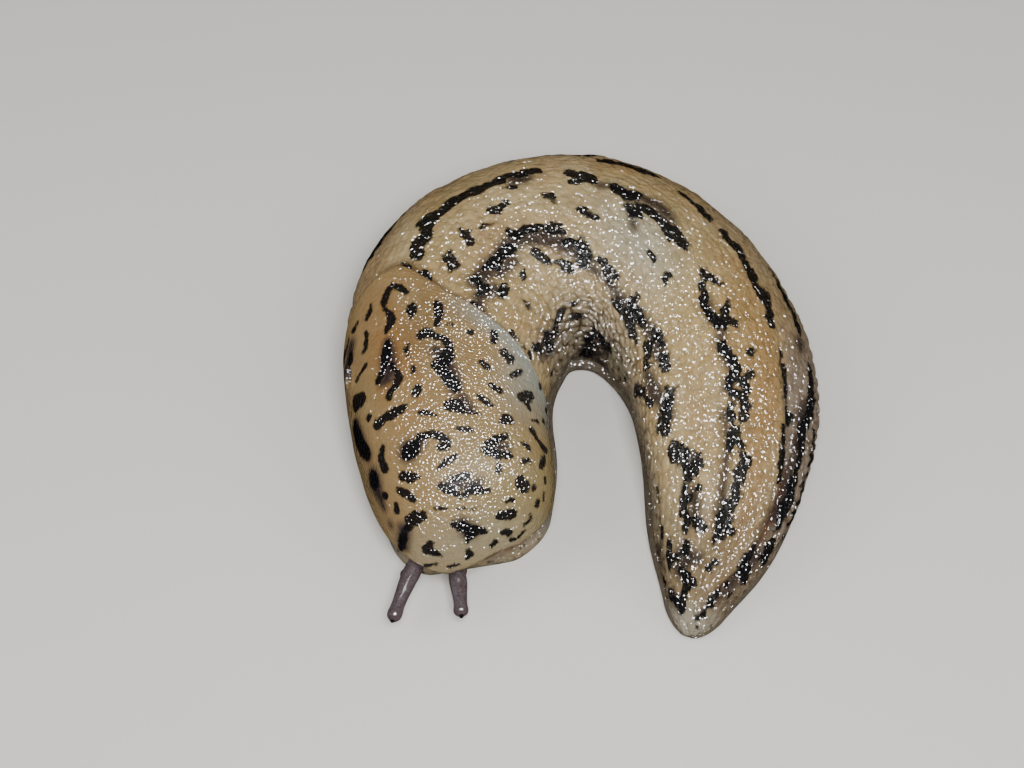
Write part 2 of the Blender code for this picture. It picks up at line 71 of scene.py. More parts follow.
# The front rim reaches further at its right corner and less on its left: by what share, at what v
# and over what run.
MANTLE_CORNER, MANTLE_CORNER_AT, MANTLE_CORNER_RUN = 0.13, -0.60, 0.22
MANTLE_RISE, MANTLE_RISE_AT, MANTLE_RISE_RUN = 0.07, 0.30, 0.28
MANTLE_PROUD, MANTLE_SEAT, GAP = 0.85, 1.4, 0.3
COVER_FULL, COVER_END = 0.86, 1.03
HEAD_DRAWN_IN, HEAD_REACH, HEAD_ASIDE = 0.6, 9.0, 3.0
MUZZLE, MUZZLE_WIDE, MUZZLE_LEVEL, MUZZLE_TALL = 0.5, 3.4, 3.4, 2.4
LIP, LIP_ASIDE, LIP_WIDE, LIP_TALL = 0.4, 0.7, 0.5, 0.75
MOUTH_DEPTH, MOUTH_LEVEL, MOUTH_WIDE = 0.55, 2.75, 0.25
FACE_FADE, FACE_END = 1.5, 5.0
# The fold on the right of the tail: its v, how it drops and then climbs, its depth and its lip. The
# keel runs along the crest. Starts and ends are lengths along the centre line.
FOLD_LINE, FOLD_START, FOLD_FULL, FOLD_FADE, FOLD_END = -0.38, 70, 80, 93, 100
FOLD_DROP, FOLD_DROP_START, FOLD_DROP_END = 0.12, 74, 91
FOLD_CLIMB, FOLD_CLIMB_START, FOLD_CLIMB_END = 0.30, 94, 101
FOLD_DEPTH, FOLD_WIDTH, FOLD_EDGE = 1.0, 0.16, 0.04
FOLD_LIP, FOLD_LIP_AT, FOLD_LIP_WIDTH = 0.3, 0.07, 0.08
KEEL_HEIGHT, KEEL_WIDTH = 0.7, 0.09
KEEL_START, KEEL_FULL, KEEL_FADE, KEEL_END = 82, 90, 98, 101
FOOT_START, FOOT_ROUND, FOOT_FLARE, FOOT_EDGE_LEVEL = 1.7, 5.5, 0.3, 0.65
# Wider fringe on the left beside the mantle and beside the tail: how far, where and over what run.
FRONT_SPREAD, FRONT_SPREAD_AT, FRONT_SPREAD_RUN = 2.2, 15.0, 8.0
REAR_SPREAD, REAR_SPREAD_AT, REAR_SPREAD_RUN = 0.8, 88.0, 8.0


def spline_through(knots, values, at):
    """Natural cubic spline: cubic pieces between the knots, equal slope and bend where they meet."""
    count = len(knots)
    step = np.diff(knots)
    matrix = np.zeros((count, count))
    right = np.zeros(values.shape)
    matrix[0, 0] = matrix[-1, -1] = 1.0
    for i in range(1, count - 1):
        matrix[i, i - 1:i + 2] = step[i - 1], 2 * (step[i - 1] + step[i]), step[i]
        slope_after = (values[i + 1] - values[i]) / step[i]
        slope_before = (values[i] - values[i - 1]) / step[i - 1]
        right[i] = 6 * (slope_after - slope_before)
    bend = np.linalg.solve(matrix, right)
    i = np.clip(np.searchsorted(knots, at) - 1, 0, count - 2)
    after = (at - knots[i])[..., None]
    width = step[i][..., None]
    before = width - after
    curve = (bend[i] * before ** 3 + bend[i + 1] * after ** 3) / (6 * width)
    curve += (values[i] / width - bend[i] * width / 6) * before
    curve += (values[i + 1] / width - bend[i + 1] * width / 6) * after
    return curve


KNOTS = np.concatenate([[0.0], np.cumsum(np.hypot(*np.diff(STATIONS[:, :2], axis=0).T))])
BODY_LENGTH = KNOTS[-1]
NOSE_TURN = NOSE_REACH * (np.pi / 2 - 1)
TAIL_TURN = TAIL_REACH * (np.pi / 2 - 1)
SKIN_LENGTH = BODY_LENGTH + NOSE_TURN + TAIL_TURN


def length_of(u):
    """Length along the centre line for a path u over the skin: quarter rounds at nose and tail."""
    u = np.clip(np.asarray(u, float), 0.0, SKIN_LENGTH)
    nose = NOSE_REACH * (1 - np.cos(np.minimum(u / NOSE_REACH, np.pi / 2)))
    rest = SKIN_LENGTH - u
    tail = TAIL_REACH * (1 - np.cos(np.minimum(rest / TAIL_REACH, np.pi / 2)))
    at_tail = rest < TAIL_REACH * np.pi / 2
    return np.where(u < NOSE_REACH * np.pi / 2, nose, np.where(at_tail, BODY_LENGTH - tail, u - NOSE_TURN))


def path_at(length):
    """The path u for a length along the centre line."""
    length = np.asarray(length, float)
    nose = NOSE_REACH * np.arccos(np.clip(1 - length / NOSE_REACH, -1, 1))
    tail = SKIN_LENGTH - TAIL_REACH * np.arccos(np.clip(1 - (BODY_LENGTH - length) / TAIL_REACH, -1, 1))
    at_tail = BODY_LENGTH - length < TAIL_REACH
    return np.where(length < NOSE_REACH, nose, np.where(at_tail, tail, length + NOSE_TURN))


def smooth(a, b, x):
    """0 below a, 1 above b and an S curve between."""
    t = np.clip((x - a) / (b - a), 0, 1)
    return t * t * (3 - 2 * t)


def between(start, full, fade, end, x):
    """0 up to start, 1 from full to fade and 0 from end on, with S curves between."""
    return smooth(start, full, x) * (1 - smooth(fade, end, x))


def bell(x, width):
    """Bell curve of height 1 that falls to a third at the width."""
    return np.exp(-(x / width) ** 2)


def stations_at(u):
    """Centre, direction to the left, half width, height, lean, upright share and pole level along u."""
    length = length_of(u)
    x, y, turn, half, height, lean = np.moveaxis(spline_through(KNOTS, STATIONS, length), -1, 0)
    left = np.stack([np.cos(np.radians(turn)), np.sin(np.radians(turn))], -1)
    nose = np.clip(1 - length / NOSE_REACH, 0, 1)
    tail = np.clip(1 - (BODY_LENGTH - length) / TAIL_REACH, 0, 1)
    wide = (1 - nose ** NOSE_WIDE_POWER) ** NOSE_WIDE_ROOT * np.sqrt(1 - tail ** 2)
    tall = np.sqrt(1 - nose ** NOSE_TALL_POWER) * np.sqrt(1 - tail ** 2)
    level = np.where(nose > 0, NOSE_LEVEL, TAIL_LEVEL)
    return np.stack([x, y], -1), left, half * wide, height, lean * tall, tall, level


def body(u, v):
    """Skin of the body in mm: rounded oval sections, v from -1 at the right groove to 1 at the left."""
    u, v = np.broadcast_arrays(np.asarray(u, float), np.asarray(v, float))
    centre, left, half, height, lean, tall, level = stations_at(u)
    angle = v * np.radians(SECTION_SWEEP)
    side = np.sign(v) * np.abs(np.sin(angle)) ** (2 / SECTION_POWER)
    rise = np.clip(np.cos(angle), 0, None) ** (2 / SECTION_POWER)
    sink = np.clip(-np.cos(angle), 0, None) / np.sin(np.radians(SECTION_SWEEP - 90))
    groove = np.minimum(GROOVE_LEVEL, 0.4 * height)
    middle = height * WIDEST_LEVEL
    below = np.sign(v) * (1 - TUCK * sink ** 2)
    across = half * np.where(sink > 0, below, side) + lean * rise ** 1.5
    up = np.where(sink > 0, middle - (middle - groove) * sink, middle + (height - middle) * rise)
    up = level + (up - level) * tall
    return np.concatenate([centre + left * across[..., None], up[..., None]], -1)


def outward(u, v):
    """Unit normal of the body, from the cross product of its two directions."""
    e_u, e_v = 0.02, 0.001
    u = np.clip(u, 2 * e_u, SKIN_LENGTH - 2 * e_u)
    along = body(u + e_u, v) - body(u - e_u, v)
    around = body(u, v + e_v) - body(u, v - e_v)
    normal = np.cross(around, along)
    return normal / np.linalg.norm(normal, axis=-1, keepdims=True)


def mantle_reach(v, ahead):
    """Distance from the mantle's middle to its rim, forwards or backwards. The rear is a blunt point."""
    middle = path_at(MANTLE_MIDDLE)
    aside = np.hypot(v - MANTLE_REAR_AT, MANTLE_ROUND) - MANTLE_ROUND
    slope = np.where(v < MANTLE_REAR_AT, MANTLE_SLOPE_RIGHT, MANTLE_SLOPE_LEFT)
    rear = np.maximum(MANTLE_REAR + NOSE_TURN - slope * aside - middle, 3.0)
    corner = 1 + MANTLE_CORNER * bell(v - MANTLE_CORNER_AT, MANTLE_CORNER_RUN)
    corner -= MANTLE_RISE * bell(v - MANTLE_RISE_AT, MANTLE_RISE_RUN)
    return np.where(ahead, (middle - path_at(MANTLE_FRONT)) * corner, rear)


def mantle_ratio(u, v):
    """0 at the mantle's middle, 1 on its rim: a superellipse in u and v."""
    away = u - path_at(MANTLE_MIDDLE)
    reach = mantle_reach(v, away < 0)
    power = MANTLE_POWER
    return (np.abs(away / reach) ** power + np.abs(v / MANTLE_SIDE) ** power) ** (1 / power)


def fold_line(length):
    """v of the tail's fold: it drops along the tail and climbs again at the tip."""
    drop = FOLD_DROP * smooth(FOLD_DROP_START, FOLD_DROP_END, length)
    return FOLD_LINE - drop + FOLD_CLIMB * smooth(FOLD_CLIMB_START, FOLD_CLIMB_END, length)


def relief(u, v):
    """Height of the tail's fold, dug in below its line and with a lip above it, and of the keel."""
    length = length_of(u)
    fold = between(FOLD_START, FOLD_FULL, FOLD_FADE, FOLD_END, length)
    aside = v - fold_line(length)
    under = bell(np.minimum(aside, 0), FOLD_WIDTH) * (1 - smooth(-FOLD_EDGE, FOLD_EDGE, aside))
    lip = bell(aside - FOLD_LIP_AT, FOLD_LIP_WIDTH)
    keel = between(KEEL_START, KEEL_FULL, KEEL_FADE, KEEL_END, length)
    return KEEL_HEIGHT * keel * bell(v, KEEL_WIDTH) + fold * (FOLD_LIP * lip - FOLD_DEPTH * under)


def core_depth(u, v):
    """How far the flesh lies below the body's outline: under the mantle, and at the drawn-in head."""
    length = length_of(u)
    covered = 1 - smooth(COVER_FULL, COVER_END, mantle_ratio(u, v))
    front = 1 - smooth(0.0, HEAD_REACH, length)
    return MANTLE_SEAT * np.maximum(covered, front) + HEAD_DRAWN_IN * front


def face_across(points):
    """Distance to the left of the face's middle."""
    turn = np.radians(STATIONS[0, 2])
    aside = points[..., :2] - STATIONS[0, :2]
    return aside[..., 0] * np.cos(turn) + aside[..., 1] * np.sin(turn) + HEAD_ASIDE


def face(points, length):
    """Height of muzzle and lips, less the slit of the mouth, each a bell in width and height."""
    across = face_across(points)
    level = points[..., 2]
    muzzle = MUZZLE * bell(across, MUZZLE_WIDE) * bell(level - MUZZLE_LEVEL, MUZZLE_TALL)
    lips = LIP * (bell(across - LIP_ASIDE, LIP_WIDE) + bell(across + LIP_ASIDE, LIP_WIDE))
    slit = MOUTH_DEPTH * bell(across, MOUTH_WIDE)
    mouth = (lips - slit) * bell(level - MOUTH_LEVEL, LIP_TALL)
    return (muzzle + mouth) * (1 - smooth(FACE_FADE, FACE_END, length))


def core(u, v):
    """Surface of the flesh in mm before its beads."""
    u, v = np.broadcast_arrays(np.asarray(u, float), np.asarray(v, float))
    normal = outward(u, v)
    shift = normal * (relief(u, v) - core_depth(u, v))[..., None]
    shift[..., 2] *= 1 - np.abs(v) ** 16
    points = body(u, v) + shift
    return points + normal * face(points, length_of(u))[..., None]


def scatter(a, b, seed):
    """Repeatable number from -1 to 1 for a pair of whole numbers: what follows the point in a big sine."""
    return 2 * np.modf(np.abs(np.sin(a * 12.9898 + b * 78.233 + seed * 37.719) * 43758.5453))[0] - 1


def lumps(points, size, seed):
    """Smooth noise from -1 to 1: random values on a lattice of that size in mm, blended by S curves."""
    cell = np.floor(points / size)
    t = points / size - cell
    t = t * t * (3 - 2 * t)
    total = 0
    for corner in np.ndindex(2, 2, 2):
        weight = np.prod(np.where(corner, t, 1 - t), axis=-1)
        at = cell + corner
        total = total + weight * scatter(at[..., 0] + 57 * at[..., 2], at[..., 1], seed)
    return total


# Rings follow the skin, coarse where the mantle's front half hides most of them, finer at the face
# and finest from there to the tail's tip, where the beads are.
FIRST_RING, FACE_RINGS, HIDDEN_RINGS, BEADED_RINGS, POINTS_ACROSS = 0.12, 30, 26, 330, 225
FACE_TO, HIDDEN_TO = 8.0, 19.0
ring_u = np.concatenate([
    np.linspace(FIRST_RING, FACE_TO, FACE_RINGS), np.linspace(FACE_TO, HIDDEN_TO, HIDDEN_RINGS)[1:],
    np.linspace(HIDDEN_TO, SKIN_LENGTH - FIRST_RING, BEADED_RINGS)[1:]])
ring_v = np.linspace(-1, 1, POINTS_ACROSS)
ring_length = length_of(ring_u)
U, V = np.meshgrid(ring_u, ring_v, indexing="ij")
L = length_of(U)
flesh = core(U, V)
flesh_normal = outward(U, V)
covered = 1 - smooth(0.97, 1.03, mantle_ratio(U, V))

# Beads lie in wavy rows along the body. A row keeps its distance from the crest, and its beads
# keep their real length where the body bends, because both are measured over the skin.
BEAD_WIDTH, BEAD_LENGTH, ROWS_ASIDE = 0.80, 1.45, 37
# A bead's half axes as shares of its pitch and row, and how far pitch, place and size vary.
HALF_LONG, HALF_WIDE = 0.55, 0.58
PITCH_VARIES, AHEAD_VARIES, ASIDE_VARIES, SIZE_VARIES = 0.16, 0.27, 0.26, 0.22
GROOVE_SHARE, DOME_POWER, DOME_FALL, FAR_OFF = 0.60, 0.7, 0.55, 9.0
steps = np.linalg.norm(np.diff(flesh, axis=1), axis=-1)
across_mm = np.concatenate([np.zeros((len(ring_u), 1)), np.cumsum(steps, axis=1)], axis=1)
across_mm -= across_mm[:, [len(ring_v) // 2]]
row_mm = np.arange(-ROWS_ASIDE, ROWS_ASIDE + 1) * BEAD_WIDTH
row_points = np.stack([
    np.stack([np.interp(row_mm, across_mm[k], flesh[k, :, axis]) for axis in range(3)], -1)
    for k in range(len(ring_u))])
row_steps = np.linalg.norm(np.diff(row_points, axis=0), axis=-1)
row_run = np.concatenate([np.zeros((1, len(row_mm))), np.cumsum(row_steps, axis=0)])


def beads(across, ring, wave):
    """Oval cells in uneven rows: height of the dome, 0 to 1, the bead's random number, mm to its centre.

    A point belongs to the bead whose centre is nearest in half axes. The dome falls to nothing where
    the second nearest is as near, which leaves a groove.
    """
    home = np.rint(across / BEAD_WIDTH).astype(int)
    nearest = np.full(across.shape, FAR_OFF)
    second = np.full(across.shape, FAR_OFF)
    number = np.zeros(across.shape)
    ahead = np.zeros(across.shape)
    aside = np.zeros(across.shape)
    for side in (-1, 0, 1):
        row = np.clip(home + side, -ROWS_ASIDE, ROWS_ASIDE)
        run = row_run[ring, row + ROWS_ASIDE] + wave
        pitch = BEAD_LENGTH * (1 + PITCH_VARIES * scatter(row, 3, 1))
        start = 0.5 * scatter(row, 5, 2)
        place = np.floor(run / pitch + start)
        for step in (-1, 0, 1):
            bead = place + step
            centre = (bead + 0.5 - start + AHEAD_VARIES * scatter(row, bead, 3)) * pitch
            middle = (row + ASIDE_VARIES * scatter(row, bead, 4)) * BEAD_WIDTH
            wide = 1 + SIZE_VARIES * scatter(row, bead, 6)
            gone = np.hypot((run - centre) / (HALF_LONG * pitch * wide),
                            (across - middle) / (HALF_WIDE * BEAD_WIDTH * wide))
            closer = gone < nearest
            second = np.where(closer, nearest, np.minimum(second, gone))
            number = np.where(closer, scatter(row, bead, 7), number)
            ahead = np.where(closer, centre - run, ahead)
            aside = np.where(closer, middle - across, aside)
            nearest = np.where(closer, gone, nearest)
    dome = smooth(0.0, GROOVE_SHARE, second - nearest) ** DOME_POWER
    dome *= 1 - DOME_FALL * np.clip(nearest, 0, 1.2) ** 2
    return np.clip(dome, 0, 1), number, ahead, aside


# Rows wander to the side in long and short waves and beads are shifted along them: mm, wave sizes.
SIDE_WAVE, SIDE_WAVE_SIZE, SIDE_RIPPLE, SIDE_RIPPLE_SIZE = 0.42, 2.3, 0.20, 1.1
AHEAD_WAVE, AHEAD_WAVE_SIZE = 0.5, 2.0
waved = across_mm + SIDE_WAVE * lumps(flesh, SIDE_WAVE_SIZE, 31)
waved += SIDE_RIPPLE * lumps(flesh, SIDE_RIPPLE_SIZE, 32)
wave = AHEAD_WAVE * lumps(flesh, AHEAD_WAVE_SIZE, 33)
ring_number = np.repeat(np.arange(len(ring_u))[:, None], len(ring_v), axis=1)
dome, bead_number, bead_ahead, bead_aside = beads(waved, ring_number, wave)
bare = (1 - covered) * smooth(4.0, 10.0, L)

# Beads stand out most on the flanks, less on the left of the tail, least on its back, and they sink
# towards the groove above the foot. Heights are in mm, and BEAD_SUNK is the share of a bead that lies
# below the flesh. Under the beads the flesh is swollen a little, in long and short lumps.
BACK_HEIGHT, FLANK_MORE, GROOVE_LESS, TAIL_LESS, BEAD_SUNK = 0.15, 0.30, 0.08, 0.04, 0.55
SWELL, SWELL_SIZE, FINE_SWELL, FINE_SWELL_SIZE = 0.16, 2.8, 0.07, 1.2
SWELL_STRETCH = np.array([1.0, 0.8, 1.4])
inner_flank = smooth(0.30, 0.62, V) * smooth(20, 28, L) * (1 - 0.5 * smooth(66, 80, L))
flank = np.clip(inner_flank + smooth(0.55, 0.8, -V), 0, 1)
near_groove = smooth(0.86, 0.99, np.abs(V))
bead_height = BACK_HEIGHT + FLANK_MORE * flank - GROOVE_LESS * near_groove
bead_height -= TAIL_LESS * smooth(64, 76, L) * (1 - flank)
wrinkle = SWELL * lumps(flesh * SWELL_STRETCH, SWELL_SIZE, 11)
wrinkle += FINE_SWELL * lumps(flesh, FINE_SWELL_SIZE, 12)
lift = bare * ((bead_height * (dome - BEAD_SUNK)) * (1 - 0.5 * smooth(97, 101.5, L)) + wrinkle)
skin_points = flesh + flesh_normal * (lift * (1 - np.abs(V) ** 30))[..., None]


# The foot's side from groove to sole: mm in from the fringe, share of the groove's level. The fringe
# is widest at FRINGE_SHARE.
FOOT_SIDE = (
    (-0.95, 1.0), (-0.75, 0.93), (-0.42, 0.80), (-0.16, 0.62), (-0.03, 0.50), (0.0, 0.39),
    (-0.05, 0.26), (-0.20, 0.13), (-0.50, 0.04), (-1.10, 0.0))
FRINGE_SHARE, FOOT_WIDTH, FOOT_DROP, FULL_REACH = 0.39, 0.93, 0.25, 2.5
SOLE_SHARES = (0.25, 0.5, 0.75)


def foot_rings(length):
    """Points of the foot in mm, from the left groove round the fringe and the flat sole to the right."""
    x, y, turn, half, height, lean = np.moveaxis(spline_through(KNOTS, STATIONS, length), -1, 0)
    centre = np.stack([x, y], -1)
    left = np.stack([np.cos(np.radians(turn)), np.sin(np.radians(turn))], -1)
    front = np.clip(1 - (length - FOOT_START) / FOOT_ROUND, 0, 1)
    tail = np.clip(1 - (BODY_LENGTH - length) / TAIL_REACH, 0, 1)
    shape = (1 - front ** 2.5) ** 0.4 * np.sqrt(1 - tail ** 2)
    low = np.clip((length - FOOT_START) / 0.8, 0, 1) ** 0.5 * (1 - tail ** 2) ** 0.3
    spread = FRONT_SPREAD * bell(length - FRONT_SPREAD_AT, FRONT_SPREAD_RUN)
    spread += REAR_SPREAD * bell(length - REAR_SPREAD_AT, REAR_SPREAD_RUN)
    right_reach = (half * FOOT_WIDTH + FOOT_FLARE) * shape
    left_reach = right_reach + spread * shape
    top = np.minimum(GROOVE_LEVEL, 0.4 * height) - FOOT_DROP
    edge = np.minimum(FOOT_EDGE_LEVEL, 0.45 * top)
    rows = []
    for sign, reach in ((1, left_reach), (-1, right_reach)):
        shrink = np.minimum(1, reach / FULL_REACH)
        side = []
        for inset, share in FOOT_SIDE:
            above = edge + (top - edge) * (share - FRINGE_SHARE) / (1 - FRINGE_SHARE)
            up = np.where(share > FRINGE_SHARE, above, edge * share / FRINGE_SHARE)
            across = sign * (reach + inset * shrink)
            level = np.where(tail > 0, TAIL_LEVEL, top)
            up = level + (up - level) * low
            side.append(np.concatenate([centre + left * across[:, None], up[:, None]], -1))
        rows += side if sign > 0 else side[::-1]
    half_way = len(FOOT_SIDE)
    left_sole, right_sole = rows[half_way - 1], rows[half_way]
    sole = [left_sole * (1 - share) + right_sole * share for share in SOLE_SHARES]
    return np.stack(rows[:half_way] + sole + rows[half_way:], axis=1)


foot_points = foot_rings(ring_length)
chin = np.linspace(0, 1, foot_points.shape[1] + 2)[1:-1, None]
chin_points = skin_points[:, -1:] * (1 - chin) + skin_points[:, :1] * chin
to_chin = (1 - smooth(FOOT_START, FOOT_START + 0.9, ring_length))[:, None, None]
foot_points += (chin_points - foot_points) * to_chin
ring = np.concatenate([skin_points, foot_points], axis=1)
POINTS_AROUND = ring.shape[1]

